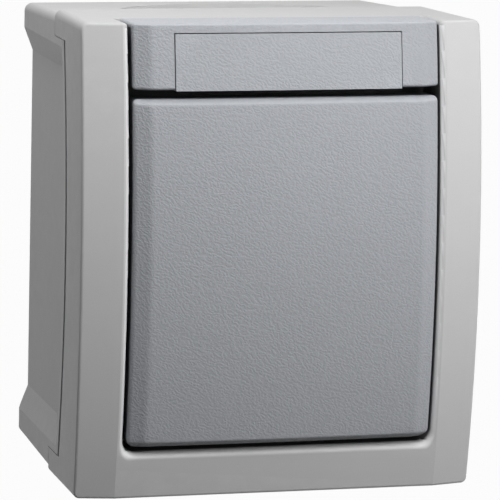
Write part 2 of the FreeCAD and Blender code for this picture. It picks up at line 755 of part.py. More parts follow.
def is_face_edge(edge):
    """True for the edges that bound the bowed face of rocker or band."""
    box = edge.BoundBox
    return box.YMin < -(face_depth - margin_rise - face_proud).value + 4.0 and box.YMax < -band_back.value \
        and not runs_in_depth(edge) and touches_outline(box)


def touches_outline(box):
    """True for an edge on the outer outline of the rocker or the band, near the front."""
    beside = abs(abs(box.XMin) - rocker_half.value) < 0.02 or abs(abs(box.XMax) - rocker_half.value) < 0.02
    level = box.ZLength < 0.02 and box.XLength > skirt_wall.value
    corner = box.ZLength < face_corner.value * 1.5 and box.XLength < face_corner.value * 1.5
    return beside or level or corner


def add_rocker_bearing(body):
    """Lugs with trunnions that clip into the cover's brackets, and the fork that drives the toggle."""
    lugs = front_sketch(body, pivot_depth - trunnion_radius - close_gap * TWO, "lugs")
    for near, far in ((lug_x - lug_wall / TWO, lug_x + lug_wall / TWO),
                      (-(lug_x + lug_wall / TWO), lug_wall / TWO - lug_x)):
        rectangle(lugs, near, far, rocker_middle - lug_half, rocker_middle + lug_half)
    pad(lugs, plate_back - pivot_depth + trunnion_radius + close_gap * TWO + close_gap)
    end = lug_x + lug_wall / TWO + bearing_gap + lug_wall
    start = lug_x
    for sign, title in ((1, "right"), (-1, "left")):
        trunnion = side_sketch(body, start * sign, "trunnion_" + title)
        circle(trunnion, -pivot_depth, rocker_middle, trunnion_radius)
        pad(trunnion, end - start, reverse=sign < 0)
    fork = front_sketch(body, fork_end, "fork")
    near = tip_radius + fork_play
    rectangle(fork, -prong_half, prong_half, rocker_middle + near, rocker_middle + near + prong_wall)
    rectangle(fork, -prong_half, prong_half, rocker_middle - near - prong_wall, rocker_middle - near)
    pad(fork, plate_back - fork_end + close_gap)


def build_top_band():
    """The band above the rocker: same section, folded over at the top, with a seat for the label."""
    body = new_body("top_band")
    block = front_sketch(body, floor_depth + close_gap, "block")
    rectangle(block, -rocker_half, rocker_half, band_foot, half_height)
    pad(block, face_depth + reach / TWO - floor_depth)
    rounded(body, band_corner, runs_in_depth, "corners")
    face_front(body, ZERO, "face")
    inner = (rocker_half - margin_width).value
    rounded(body, margin_bend, lambda edge: abs(abs(edge.BoundBox.Center.x) - inner) < 0.2
            and edge.BoundBox.ZLength > band_height.value / 2, "bends")
    rounded(body, band_edge, is_face_edge, "edges")
    inside = front_sketch(body, floor_depth, "inside")
    rectangle(inside, skirt_wall - rocker_half, rocker_half - skirt_wall,
              band_foot + skirt_wall, half_height - band_roof)
    pocket(inside, band_back - floor_depth, reverse=True)
    seat = front_sketch(body, label_back - close_gap, "seat")
    rectangle(seat, -(label_half + label_gap), label_half + label_gap,
              band_foot - label_gap, label_top + label_gap)
    pocket(seat, reach, reverse=True)
    return body


def build_label_plate():
    """The bare clip-in label plate, flush with the band."""
    body = new_body("label_plate")
    block = front_sketch(body, label_back, "block")
    rectangle(block, -label_half, label_half, label_foot, label_top)
    pad(block, reach)
    rounded(body, label_corner, runs_in_depth, "corners")
    face_front(body, label_proud, "face")
    return body


# Membranes and seals


def build_entry_membrane(name, sign):
    """A soft cable entry: a grooved ring with a thin cone that is pierced on site."""
    body = new_body(name)
    profile = side_sketch(body, ZERO, "profile")
    outer = entry_hole + head_height
    groove = entry_hole - close_gap
    roof = entry_floor + seal_wall
    under = box_inside_height / TWO
    cone = roof + close_gap * TWO
    places = [(ZERO, cone - seal_wall), (ZERO, cone), (entry_hole / TWO, roof), (outer, roof),
              (outer, entry_floor + pivot_play), (groove, entry_floor + pivot_play),
              (groove, under - pivot_play), (outer, under - pivot_play), (outer, under - seal_wall),
              (groove - seal_wall, under - seal_wall), (groove - seal_wall, entry_floor - seal_wall / TWO)]
    outline(profile, [(across - entry_depth if across is not ZERO else -entry_depth, up * sign)
                      for across, up in places])
    turned("Revolution", profile, [(-entry_depth, under * sign), (-entry_depth, half_height * sign)])
    return body


def build_cover_gasket():
    """The ring that lies on the box's ledge and is pressed by the cover's rib."""
    body = new_body("cover_gasket")
    ring = front_sketch(body, ledge_depth, "ring")
    across = collar_width / TWO - close_gap
    up = collar_height / TWO - close_gap
    centred(ring, across, up)
    centred(ring, across + close_gap - ledge_width, up + close_gap - ledge_width)
    pad(ring, gasket_height)
    return body


def build_actuator_seal():
    """The soft seal in the window of the cover's floor, with a lip around the rocker's fork."""
    body = new_body("actuator_seal")
    flange = front_sketch(body, floor_depth + pivot_play, "flange")
    lip_x = prong_half + seal_lip / TWO
    lip_z = tip_radius + fork_play + prong_wall + seal_lip
    centred(flange, window_width / TWO + seal_wall, window_height / TWO + seal_wall, rocker_middle)
    centred(flange, window_width / TWO - seal_wall * TWO, window_height / TWO - seal_wall * TWO, rocker_middle)
    pad(flange, seal_wall)
    neck = front_sketch(body, floor_back + seal_wall / TWO, "neck")
    centred(neck, window_width / TWO - close_gap, window_height / TWO - close_gap, rocker_middle)
    centred(neck, window_width / TWO - seal_wall * TWO, window_height / TWO - seal_wall * TWO, rocker_middle)
    pad(neck, floor_wall - seal_wall / TWO + close_gap)
    web = front_sketch(body, floor_back + seal_wall / TWO, "web")
    centred(web, window_width / TWO - seal_wall, window_height / TWO - seal_wall, rocker_middle)
    centred(web, lip_x, lip_z, rocker_middle)
    pad(web, seal_wall)
    return body


# Mechanism


def clamp_places():
    """Terminal clamps: two for the switched wires on the left, the common one on the right."""
    return [("terminal_clamp_upper", -clamp_x, rocker_middle + contact_z, 1),
            ("terminal_clamp_lower", -clamp_x, rocker_middle - contact_z, -1),
            ("terminal_clamp_common", clamp_x, rocker_middle, 0)]


def build_mechanism_base():
    """The moulded base: a well for the contacts, pockets for the clamps and wire holes."""
    body = new_body("mechanism_base")
    block = front_sketch(body, base_depth, "block")
    centred(block, base_half, base_height / TWO, rocker_middle)
    pad(block, plate_depth - base_depth)
    well = front_sketch(body, floor_of_well, "well")
    centred(well, toggle_half + strip_wall * TWO, lever_half + contact_radius, rocker_middle)
    pocket(well, reach, reverse=True)
    half = clamp_width / TWO + close_gap
    for name, across, up, way in clamp_places():
        nest = front_sketch(body, clamp_depth, name)
        rectangle(nest, across - half, across + half, up - half, up + half)
        pocket(nest, reach, reverse=True)
        duct = front_sketch(body, floor_of_well, name + "_duct")
        near = across + half * (1 if way else -1)
        rectangle(duct, *sorted((ZERO, near), key=lambda place: place.value),
                  up - strip_half - close_gap, up + strip_half + close_gap)
        pocket(duct, reach, reverse=True)
        entry = side_sketch(body, across, name + "_entry")
        circle(entry, -(clamp_depth + wire_hole * TWO), up, wire_hole)
        pocket(entry, base_half, reverse=across.value > 0)
    return body


def build_mechanism_cover():
    """The front part of the mechanism: two cheeks that carry the toggle's axle."""
    body = new_body("mechanism_cover")
    block = front_sketch(body, plate_front, "block")
    centred(block, cheek_half, cheek_height / TWO, rocker_middle)
    pad(block, cheek_depth - plate_front)
    slot = front_sketch(body, plate_front, "slot")
    centred(slot, toggle_half + bearing_gap, toggle_half * 1.5, rocker_middle)
    pocket(slot, reach, reverse=True)
    axle = side_sketch(body, ZERO, "axle")
    circle(axle, -toggle_depth, rocker_middle, axle_radius + close_gap / 5)
    pocket(axle, cheek_half * TWO + close_gap, symmetric=True)
    return body


def build_support_plate():
    """The steel plate that carries the mechanism, with a tongue up and down to the posts of the box."""
    body = new_body("support_plate")
    blank = front_sketch(body, plate_depth, "blank")
    tongue = post_radius * TWO
    shoulder = base_height / TWO
    end = fix_half + post_radius
    places = [(-tongue, -end), (tongue, -end), (tongue, -shoulder), (base_half, -shoulder),
              (base_half, shoulder), (tongue, shoulder), (tongue, end), (-tongue, end),
              (-tongue, shoulder), (-base_half, shoulder), (-base_half, -shoulder), (-tongue, -shoulder)]
    outline(blank, [(across, rocker_middle + up) for across, up in places])
    for up in (fix_half, -fix_half):
        circle(blank, ZERO, rocker_middle + up, screw_radius + close_gap)
    for name, across, up, way in clamp_places():
        circle(blank, across, up, clamp_head + close_gap)
    centred(blank, toggle_half + bearing_gap, toggle_half * 1.5, rocker_middle)
    pad(blank, plate_wall)
    rounded(body, corner_radius, lambda edge: runs_in_depth(edge)
            and abs(edge.BoundBox.XMin) > base_half.value - 0.1, "corners")
    return body


def build_toggle():
    """The toggle: hub on its axle, round tip in the rocker's fork, leg with the plunger's bore."""
    body = new_body("toggle")
    hub = side_sketch(body, ZERO, "hub")
    circle(hub, -toggle_depth, rocker_middle, hub_radius)
    pad(hub, toggle_half * TWO, symmetric=True)
    stem = side_sketch(body, ZERO, "stem")
    thin = tip_radius / TWO
    rectangle(stem, -tip_depth, -toggle_depth, rocker_middle - thin, rocker_middle + thin)
    pad(stem, prong_half * TWO - bearing_gap, symmetric=True)
    tip = side_sketch(body, ZERO, "tip")
    circle(tip, -tip_depth, rocker_middle, tip_radius)
    pad(tip, prong_half * TWO - bearing_gap, symmetric=True)
    leg = front_sketch(body, leg_depth, "leg")
    centred(leg, hub_radius, hub_radius, rocker_middle)
    pad(leg, toggle_depth - leg_depth)
    across = side_sketch(body, ZERO, "across")
    circle(across, -toggle_depth, rocker_middle, axle_radius + pivot_play)
    pocket(across, toggle_half * TWO + close_gap, symmetric=True)
    bore = front_sketch(body, leg_depth, "bore")
    circle(bore, ZERO, rocker_middle, bore_radius)
    pocket(bore, toggle_depth - axle_radius - leg_depth - strip_wall, reverse=True)
    return body


def build_toggle_axle():
    """The steel axle across the cheeks."""
    axle = DOC.addObject("Part::Cylinder", "toggle_axle")
    axle.Label = "toggle_axle"
    bind(axle, "Radius", axle_radius)
    bind(axle, "Height", (cheek_half - axle_inset) * TWO)
    axle.Placement = FreeCAD.Placement(FreeCAD.Vector(), FreeCAD.Rotation(FreeCAD.Vector(0, 1, 0), 90))
    bind(axle, "Placement.Base.x", axle_inset - cheek_half)
    bind(axle, "Placement.Base.y", -toggle_depth)
    bind(axle, "Placement.Base.z", rocker_middle)
    return axle


def build_plunger():
    """The round-nosed plunger that rides over the contact lever."""
    body = new_body("plunger")
    profile = side_sketch(body, ZERO, "profile")
    end = leg_depth + strip_wall / TWO
    nose = plunger_depth + plunger_radius
    outline(profile, [(-end, rocker_middle), (-end, rocker_middle + plunger_radius),
                      (-nose, rocker_middle + plunger_radius, -plunger_radius),
                      (-plunger_depth, rocker_middle)])
    turned("Revolution", profile, [(-end, rocker_middle), (-plunger_depth, rocker_middle)])
    return body


def build_plunger_spring():
    """The coil spring between the plunger and the end of its bore."""
    start = leg_depth + strip_wall / TWO + wire_radius * TWO
    end = toggle_depth - axle_radius - strip_wall - wire_radius * TWO
    coil = bore_radius - wire_radius * TWO
    turns = 4
    helix = DOC.addObject("Part::Helix", "spring_path")
    bind(helix, "Pitch", (end - start) / turns)
    bind(helix, "Height", end - start)
    bind(helix, "Radius", coil)
    wire = DOC.addObject("Part::Circle", "spring_wire")
    bind(wire, "Radius", wire_radius)
    wire.Placement = FreeCAD.Placement(FreeCAD.Vector(), FreeCAD.Rotation(FreeCAD.Vector(1, 0, 0), 90))
    bind(wire, "Placement.Base.x", coil)
    sweep = DOC.addObject("Part::Sweep", "plunger_spring")
    sweep.Label = "plunger_spring"
    sweep.Sections = [wire]
    sweep.Spine = (helix, ["Edge1"])
    sweep.Solid = True
    sweep.Frenet = True
    sweep.Placement = FreeCAD.Placement(FreeCAD.Vector(), FreeCAD.Rotation(FreeCAD.Vector(1, 0, 0), 90))
    bind(sweep, "Placement.Base.y", -start)
    bind(sweep, "Placement.Base.z", rocker_middle)
    return sweep


def build_contact_lever():
    """The rocking contact lever with a rivet at each end."""
    body = new_body("contact_lever")
    strip = front_sketch(body, lever_depth, "strip")
    centred(strip, strip_half, lever_half, rocker_middle)
    pad(strip, strip_wall)
    rivets = front_sketch(body, lever_depth - contact_head, "rivets")
    for up in (contact_z, -contact_z):
        circle(rivets, ZERO, rocker_middle + up, contact_radius)
    pad(rivets, contact_head)
    return body


def build_fixed_contact(name, sign):
    """A brass strip with a contact rivet, from the well to its clamp."""
    body = new_body(name)
    up = rocker_middle + contact_z * sign
    strip = front_sketch(body, floor_of_well, "strip")
    rectangle(strip, clamp_width / TWO - clamp_x, strip_half, up - strip_half, up + strip_half)
    pad(strip, strip_wall)
    rivet = front_sketch(body, strip_front, "rivet")
    circle(rivet, ZERO, up, contact_radius)
    pad(rivet, contact_seat)
    return body


def build_contact_saddle():
    """The common strip with the edge that the lever rocks on."""
    body = new_body("contact_saddle")
    strip = front_sketch(body, floor_of_well, "strip")
    rectangle(strip, -strip_half, clamp_x - clamp_width / TWO,
              rocker_middle - strip_half, rocker_middle + strip_half)
    pad(strip, strip_wall)
    edge = side_sketch(body, ZERO, "edge")
    half = strip_wall / TWO
    top = lever_depth - lever_gap
    outline(edge, [(-strip_front, rocker_middle - half * TWO), (-strip_front, rocker_middle + half * TWO),
                   (-top, rocker_middle + half / TWO), (-top, rocker_middle - half / TWO)])
    pad(edge, strip_half * TWO, symmetric=True)
    return body


def build_clamp(name, across, up, way):
    """A brass clamp with a wire hole from the side and a tapped hole from the front."""
    body = new_body(name)
    block = front_sketch(body, clamp_depth, "block")
    half = clamp_width / TWO
    rectangle(block, across - half, across + half, up - half, up + half)
    pad(block, clamp_length)
    wire = side_sketch(body, across, "wire")
    circle(wire, -(clamp_depth + wire_hole * TWO), up, wire_hole)
    pocket(wire, clamp_width * TWO, symmetric=True)
    tapped = front_sketch(body, clamp_front, "tapped")
    circle(tapped, across, up, clamp_screw + pivot_play)
    pocket(tapped, clamp_length / TWO)
    return body


def screw(body, name, across, up, seat, head, radius, long, tall):
    """A slotted screw whose head seats at a depth and whose shank points at the wall."""
    shank = front_sketch(body, seat - long, name + "_shank")
    circle(shank, across, up, radius)
    pad(shank, long)
    cap = front_sketch(body, seat, name + "_head")
    circle(cap, across, up, head)
    pad(cap, tall)
    slot = front_sketch(body, seat + tall, name + "_slot")
    rectangle(slot, across - head * 1.2, across + head * 1.2, up - slot_width / TWO, up + slot_width / TWO)
    pocket(slot, tall / TWO)


def build_screws():
    """The three groups of screws and the earth terminal with its screw."""
    cover = new_body("cover_screws")
    for name, across, up in (("upper", -cover_screw_x, cover_screw_z), ("lower", cover_screw_x, -cover_screw_z)):
        screw(cover, name, across, up, floor_depth, screw_head, screw_radius,
              floor_depth - ledge_depth, head_height)
    plate = new_body("mechanism_screws")
    for name, up in (("upper", fix_half), ("lower", -fix_half)):
        screw(plate, name, ZERO, rocker_middle + up, plate_front, screw_head, screw_radius,
              plate_front - base_depth, head_height)
    clamp = new_body("terminal_screws")
    for name, across, up, way in clamp_places():
        screw(clamp, name, across, up, clamp_front, clamp_head, clamp_screw, clamp_length / 2.5, head_height)
    return [cover, plate, clamp]


def build_earth_terminal():
    """The loop-through earth terminal on the wall plate of the box."""
    body = new_body("earth_terminal")
    middle = rocker_middle - fix_half
    half = clamp_width / TWO
    block = front_sketch(body, rear_wall, "block")
    rectangle(block, -earth_x - half, half - earth_x, middle - half, middle + half)
    pad(block, clamp_length)
    wire = side_sketch(body, -earth_x, "wire")
    circle(wire, -(rear_wall + wire_hole * TWO), middle, wire_hole)
    pocket(wire, clamp_width * TWO, symmetric=True)
    tapped = front_sketch(body, rear_wall + clamp_length, "tapped")
    circle(tapped, -earth_x, middle, clamp_screw + pivot_play)
    pocket(tapped, clamp_length / TWO)
    tight = new_body("earth_screw")
    screw(tight, "earth", -earth_x, middle, rear_wall + clamp_length, clamp_head, clamp_screw,
          clamp_length / 2.5, head_height)
    return [body, tight]


def check_features():
    """Stops at a failed object, and at a feature that changes nothing."""
    for item in DOC.Objects:
        if "Invalid" in item.State or "Error" in item.State:
            raise RuntimeError("failed object: " + item.Name)
        if item.TypeId.startswith("PartDesign::") and getattr(item, "BaseFeature", None) \
                and item.TypeId != "PartDesign::Body":
            before = item.BaseFeature.Shape.Volume
            after = item.Shape.Volume
            if abs(after - before) < 1e-3:
                raise RuntimeError("feature without effect: " + item.Name)


def main():
    """Builds every piece, checks it and writes its file."""
    pieces = [build_rear_box(), build_front_cover(), build_rocker(), build_top_band(), build_label_plate(),
              build_entry_membrane("entry_membrane_top", 1), build_entry_membrane("entry_membrane_bottom", -1),
              build_cover_gasket(), build_actuator_seal(), build_mechanism_base(), build_mechanism_cover(),
              build_support_plate(), build_toggle(), build_toggle_axle(), build_plunger(),
              build_plunger_spring(), build_contact_lever(), build_contact_saddle(),
              build_fixed_contact("fixed_contact_upper", 1), build_fixed_contact("fixed_contact_lower", -1)]
    pieces += [build_clamp(*place) for place in clamp_places()]
    pieces += build_screws() + build_earth_terminal()
    DOC.recompute()
    check_features()
    os.makedirs("parts", exist_ok=True)
    for piece in pieces:
        if piece.Shape.isNull() or not piece.Shape.isValid() or not piece.Shape.Solids:
            raise RuntimeError("bad shape: " + piece.Label)
        piece.Shape.exportStep("parts/" + piece.Label + ".step")
        print("%-24s solids %d  volume %9.2f mm3" % (piece.Label, len(piece.Shape.Solids), piece.Shape.Volume))


main()
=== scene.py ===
import bpy
import math

import bmesh
from bpy.props import FloatProperty, FloatVectorProperty, PointerProperty
from mathutils import Matrix, Vector


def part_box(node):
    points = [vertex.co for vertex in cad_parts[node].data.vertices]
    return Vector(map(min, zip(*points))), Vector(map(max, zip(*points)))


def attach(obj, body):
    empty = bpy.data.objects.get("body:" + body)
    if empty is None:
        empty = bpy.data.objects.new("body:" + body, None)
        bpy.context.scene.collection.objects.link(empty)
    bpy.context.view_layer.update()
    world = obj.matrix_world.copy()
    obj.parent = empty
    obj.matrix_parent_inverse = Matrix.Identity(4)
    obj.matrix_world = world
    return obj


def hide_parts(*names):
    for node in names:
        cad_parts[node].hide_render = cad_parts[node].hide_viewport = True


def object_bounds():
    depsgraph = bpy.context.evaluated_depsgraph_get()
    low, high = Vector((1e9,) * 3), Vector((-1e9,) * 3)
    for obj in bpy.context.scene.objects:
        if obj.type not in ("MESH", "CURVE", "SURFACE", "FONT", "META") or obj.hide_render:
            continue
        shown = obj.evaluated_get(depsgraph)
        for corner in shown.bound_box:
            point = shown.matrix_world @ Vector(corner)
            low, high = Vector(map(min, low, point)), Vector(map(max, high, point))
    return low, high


bl_info = {
    "name": "Weatherproof surface switch",
    "version": (1, 0, 0),
    "blender": (4, 5, 0),
    "location": "View3D > Sidebar > Switch",
    "description": "Finishes, soft edges and studio for a surface-mounted weatherproof switch",
    "category": "Object",
}

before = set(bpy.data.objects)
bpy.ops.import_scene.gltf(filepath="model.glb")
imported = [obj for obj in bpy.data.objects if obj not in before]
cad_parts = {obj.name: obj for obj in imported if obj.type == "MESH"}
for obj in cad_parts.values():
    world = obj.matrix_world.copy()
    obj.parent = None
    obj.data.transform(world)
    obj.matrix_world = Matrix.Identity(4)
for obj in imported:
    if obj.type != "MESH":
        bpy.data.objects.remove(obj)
CAD_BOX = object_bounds()

# Places are in metres from the middle of the wall face: x to the right, y into the wall, z up.
# A depth below the front is measured from the bowed front at the same height.
BOW_RADIUS = 0.252              # bow that every front surface follows, up and down
CREST_DEPTH = -CAD_BOX[0][1]    # from the wall to the foremost point

JOINT_START = 0.0021            # depth below the front at which the painted shade in the joint begins
JOINT_DARK = 0.0031             # and at which it is full
JOINT_SILL = -0.0320            # height under which the painted shade begins deeper
SILL_DEPTH = 0.0012             # by this much
JOINT_HALF_WIDTH = 0.0280       # the painted shade stays within this width,
JOINT_BOTTOM = -0.0328          # between these two heights
JOINT_TOP = 0.0394
JOINT_FLOOR = -0.0450           # and in front of this place
# Painted shade: a near black colour laid into the joint and onto faces that look down, and how
# strongly it covers the joint
PAINTED_SHADE_COLOUR = (0.012, 0.012, 0.013, 1.0)
PAINTED_SHADE_AMOUNT = 0.85

OPENING_HALF_WIDTH = 0.0274     # sides, lower edge and corners of the cover's opening
OPENING_BOTTOM = -0.0323
OPENING_CORNER = 0.0019
LIP_FULL, LIP_GONE = 0.0005, 0.0014    # distances from the opening between which the painted highlight on its lip fades
LIP_SIDE_SQUEEZE = 1.6          # how much narrower the painted highlight is at the sides
LIP_FLOOR = -0.0495             # the painted highlight stays in front of this place

CUT_FLOOR = -0.052              # only faces in front of this place are cut into strips
STRIPS = (0.25, 0.5, 0.75, 1.0)    # where a soft edge is cut, as shares of its width
SOFT_START = 0.0006             # width over which a slope begins gently
SMOOTH_ANGLE = 32.0             # degrees up to which neighbouring faces shade as one
ROCKER_LAYER = (0.0014, 0.0026)    # depths below the front between which the rocker's slopes fade
COVER_LAYER = (0.001, 0.0024)      # and the cover's
SIDE_GAP = 0.00065              # room beside the rocker
SILL_GAP = 0.001                # room under the rocker
OPENING_PLAY = 0.0002           # points this far inside the opening's edge still belong to its lip
LEVEL = (0.0, 0.0, 1.0)         # normal of a level cut
UPRIGHT = (1.0, 0.0, 0.0)       # normal of an upright cut

SENSOR_WIDTH = 36.0             # of the camera, in millimetres
FLOOR_RADIUS = 12.0
FLOOR_COLOUR = (0.8, 0.8, 0.8, 1.0)
FLOOR_WHITENESS = 0.97          # how far the floor turns white where it is seen directly
LIT_DEPTH = 0.04                # from the wall to the point that the lamps look at
# Name, degrees round from the front to the right, degrees up, and the setting that holds the power
LAMPS = (("front_lamp", 5.0, 45.0, "front_power"),
         ("middle_lamp", 30.0, 25.0, "middle_power"),
         ("right_lamp", 55.0, 5.0, "right_power"),
         ("left_lamp", -70.0, 70.0, "left_power"),
         ("side_lamp", -110.0, 60.0, "side_power"),
         ("back_lamp", 150.0, -12.0, "back_power"))

STAND_INS = {}                  # the pieces that stand for CAD nodes, by the nodes' names


# Settings


def colour(name, description, default):
    """A colour that a user may change."""
    return FloatVectorProperty(name=name, description=description, subtype="COLOR", size=3,
                               min=0.0, max=1.0, default=default)


def length(name, description, default):
    """A length in metres that a user may change."""
    return FloatProperty(name=name, description=description, default=default, min=0.0,
                         unit="LENGTH", precision=5)


def share(name, description, default):
    """A share from none to all that a user may change."""
    return FloatProperty(name=name, description=description, default=default, min=0.0, max=1.0,
                         subtype="FACTOR")


def ratio(name, description, default):
    """A slope or a ratio of two lengths that a user may change."""
    return FloatProperty(name=name, description=description, default=default, min=0.0, max=20.0)


def watts(name, description, default):
    """The power of a lamp that a user may change."""
    return FloatProperty(name=name, description=description, default=default, min=0.0,
                         unit="POWER")


def degrees(name, description, default):
    """An angle that a user may change, given here in degrees."""
    return FloatProperty(name=name, description=description, default=math.radians(default),
                         unit="ROTATION")


class HousingFinish(bpy.types.PropertyGroup):
    """Finish of the rear box and the front cover."""
    tint: colour("Housing colour", "Colour of the light grey housing", (0.628, 0.627, 0.629))
    grain_size: length("Grain size", "Size of the fine moulded grain", 0.00022)
    grain_depth: length("Grain depth", "Depth of the fine moulded grain", 0.000006)
    roughness: share("Roughness", "How matt the housing is", 0.46)
    dust: share("Dust", "How much dust lies on faces that look up", 0.06)


class RockerFinish(bpy.types.PropertyGroup):
    """Finish of the rocker, the band and the label plate."""
    tint: colour("Rocker colour", "Colour of the cool grey rocker", (0.41, 0.424, 0.452))
    cell_size: length("Leather cell", "Size of one cell of the leather grain", 0.00034)
    cell_depth: length("Leather depth", "Depth of the leather grain", 0.000031)
    roughness: share("Roughness", "How matt the rocker is", 0.42)
    plate_tint: colour("Plate colour", "Colour of the label plate", (0.42, 0.435, 0.462))


class SealFinish(bpy.types.PropertyGroup):
    """Finish of the membranes and the hidden seals."""
    membrane_tint: colour("Membrane colour", "Colour of the cable entry membranes",
                          (0.50, 0.50, 0.49))
    seal_tint: colour("Seal colour", "Colour of the gasket and the actuator seal",
                      (0.035, 0.035, 0.038))
    roughness: share("Roughness", "How matt the rubber is", 0.72)


class MechanismFinish(bpy.types.PropertyGroup):
    """Finish of the moulded pieces of the mechanism."""
    base_tint: colour("Mechanism colour", "Colour of the mechanism's base and cheeks",
                      (0.72, 0.72, 0.69))
    toggle_tint: colour("Toggle colour", "Colour of the toggle", (0.60, 0.59, 0.55))
    roughness: share("Roughness", "How matt the mouldings are", 0.5)


class MetalFinish(bpy.types.PropertyGroup):
    """Finish of the steel and brass pieces."""
    steel_tint: colour("Steel colour", "Colour of the zinc-plated steel", (0.62, 0.63, 0.64))
    brass_tint: colour("Brass colour", "Colour of the bare brass", (0.72, 0.52, 0.22))
    steel_roughness: share("Steel roughness", "How matt the steel is", 0.34)
    brass_roughness: share("Brass roughness", "How matt the brass is", 0.3)
    brush_size: length("Brush size", "Width of a brushing line", 0.00012)


class EdgeShapes(bpy.types.PropertyGroup):
    """Soft front edges of the rocker and of the cover's opening."""
    foot_width: length("Rocker foot width", "Height of the slope along the rocker's lower edge",
                       0.0013)
    foot_slope: ratio("Rocker foot slope", "Slope of the rocker's lower edge", 1.5)
    head_width: length("Rocker head width", "Height of the slope along the rocker's upper edge",
                       0.0012)
    head_slope: ratio("Rocker head slope", "Slope of the rocker's upper edge", 0.7)
    lip_width: length("Lip width", "Width of the rounding around the cover's opening", 0.0012)
    lip_slope: ratio("Lip slope", "Slope of that rounding along the bottom bar", 0.8)
    side_slope: ratio("Side lip slope", "Slope of that rounding along the side bars", 0.25)
    lip_corner: length("Lip corner", "Corner radius of the cover's opening", 0.0019)


class StudioSetup(bpy.types.PropertyGroup):
    """Camera, floor and lamps."""
    yaw: degrees("Camera yaw", "How far to the left of the object the camera stands", 17.207)
    pitch: degrees("Camera pitch", "How far the camera looks down", 8.637)
    roll: degrees("Camera roll", "Turn of the camera about its own axis", 1.256)
    distance: length("Camera distance", "Distance from the camera to the aimed point", 0.761022)
    aim_depth: length("Aim depth", "Distance from the wall to the aimed point", 0.025)
    aim_right: length("Aim right", "Shift of the aimed point to the right", 0.003128)
    aim_down: length("Aim down", "Shift of the aimed point down", 0.002621)
    focal_ratio: ratio("Focal ratio", "Focal length over the sensor's width", 4349.2 / 500.0)
    floor_drop: length("Floor drop", "Height of the object above the floor", 0.26)
    lamp_distance: length("Lamp distance", "Distance of the lamps from the object", 0.22)
    lamp_size: length("Lamp size", "Side of a lamp's square", 0.10)
    front_power: watts("Front lamp", "Power of the lamp in front and above", 0.264)
    middle_power: watts("Middle lamp", "Power of the lamp to the right and a little above", 0.077)
    right_power: watts("Right lamp", "Power of the low lamp to the right", 0.117)
    left_power: watts("Left lamp", "Power of the high lamp to the left", 0.09)
    side_power: watts("Side lamp", "Power of the high lamp behind the left side", 0.095)
    back_power: watts("Back lamp", "Power of the lamp behind the object", 0.2)
    ambient: share("Ambient light", "Strength of the even light from all around", 0.04)


FINISHES = {"housing_finish": HousingFinish, "rocker_finish": RockerFinish,
            "seal_finish": SealFinish, "mechanism_finish": MechanismFinish,
            "metal_finish": MetalFinish, "edge_shapes": EdgeShapes, "studio_setup": StudioSetup}


# Node tools


def node(tree, kind, inputs=(), **settings):
    """Adds a node, sets its properties and sockets, and links what is given as a socket."""
    made = tree.nodes.new(kind)
    for title, value in settings.items():
        setattr(made, title, value)
    for target, value in inputs:
        socket = made.inputs[target]
        if isinstance(value, bpy.types.NodeSocket):
            tree.links.new(value, socket)
        else:
            socket.default_value = value
    return made


def maths(tree, operation, *values):
    """A maths node over numbers or sockets; gives its output."""
    return node(tree, "ShaderNodeMath", enumerate(values), operation=operation).outputs[0]


def product(tree, first, *others):
    """Several numbers or sockets multiplied, one after the other; gives the output."""
    for other in others:
        first = maths(tree, "MULTIPLY", first, other)
    return first


def vector_maths(tree, operation, *values):
    """A vector maths node over vectors or sockets; gives its output."""
    return node(tree, "ShaderNodeVectorMath", enumerate(values), operation=operation).outputs[0]


def ramp(tree, value, start, end, low=0.0, high=1.0, curve="LINEAR"):
    """Goes from low to high while the value goes from start to end; gives its output."""
    return node(tree, "ShaderNodeMapRange",
                [("Value", value), ("From Min", start), ("From Max", end), ("To Min", low),
                 ("To Max", high)], interpolation_type=curve).outputs[0]


def noise(tree, place, scale, detail, roughness=0.5):
    """Fractal noise at a place; gives its outputs."""
    return node(tree, "ShaderNodeTexNoise",
                [("Vector", place), ("Scale", scale), ("Detail", detail),
                 ("Roughness", roughness)]).outputs


def axes(tree, vector):
    """The three parts of a vector, by their letters."""
    return node(tree, "ShaderNodeSeparateXYZ", [(0, vector)]).outputs


def blend(tree, factor, first, second):
    """A colour mix; gives its output. The mix node keeps its colours in sockets of their own."""
    factor_socket, first_socket, second_socket, result_socket = 0, 6, 7, 2
    mix = node(tree, "ShaderNodeMix",
               [(factor_socket, factor), (first_socket, first), (second_socket, second)],
               data_type="RGBA")
    return mix.outputs[result_socket]


def shaded(tint, factor):
    """A lighter or darker version of a colour, with full cover."""
    return tuple(min(1.0, channel * factor) for channel in tint[:3]) + (1.0,)


def clouded(tree, cloud, tint, dark, light):
    """A colour that drifts between a darker and a lighter version of itself."""
    return blend(tree, cloud, shaded(tint, dark), shaded(tint, light))


def rising(tree, height, lowest, rise):
    """A number that rises from its lowest value with a height or a stain; gives its output."""
    return maths(tree, "MULTIPLY_ADD", height, rise, lowest)


# Effects that several materials share


def shader_group(name, inputs, outputs):
    """An empty shader node group; inputs and outputs give each socket's name and default."""
    group = bpy.data.node_groups.new(name, "ShaderNodeTree")
    for title, default in inputs:
        kind = "NodeSocketVector" if default is None else "NodeSocketFloat"
        socket = group.interface.new_socket(name=title, in_out="INPUT", socket_type=kind)
        if default is not None:
            socket.default_value = default
    for title in outputs:
        group.interface.new_socket(name=title, in_out="OUTPUT", socket_type="NodeSocketFloat")
    given = group.nodes.new("NodeGroupInput").outputs
    return group, given, group.nodes.new("NodeGroupOutput").inputs


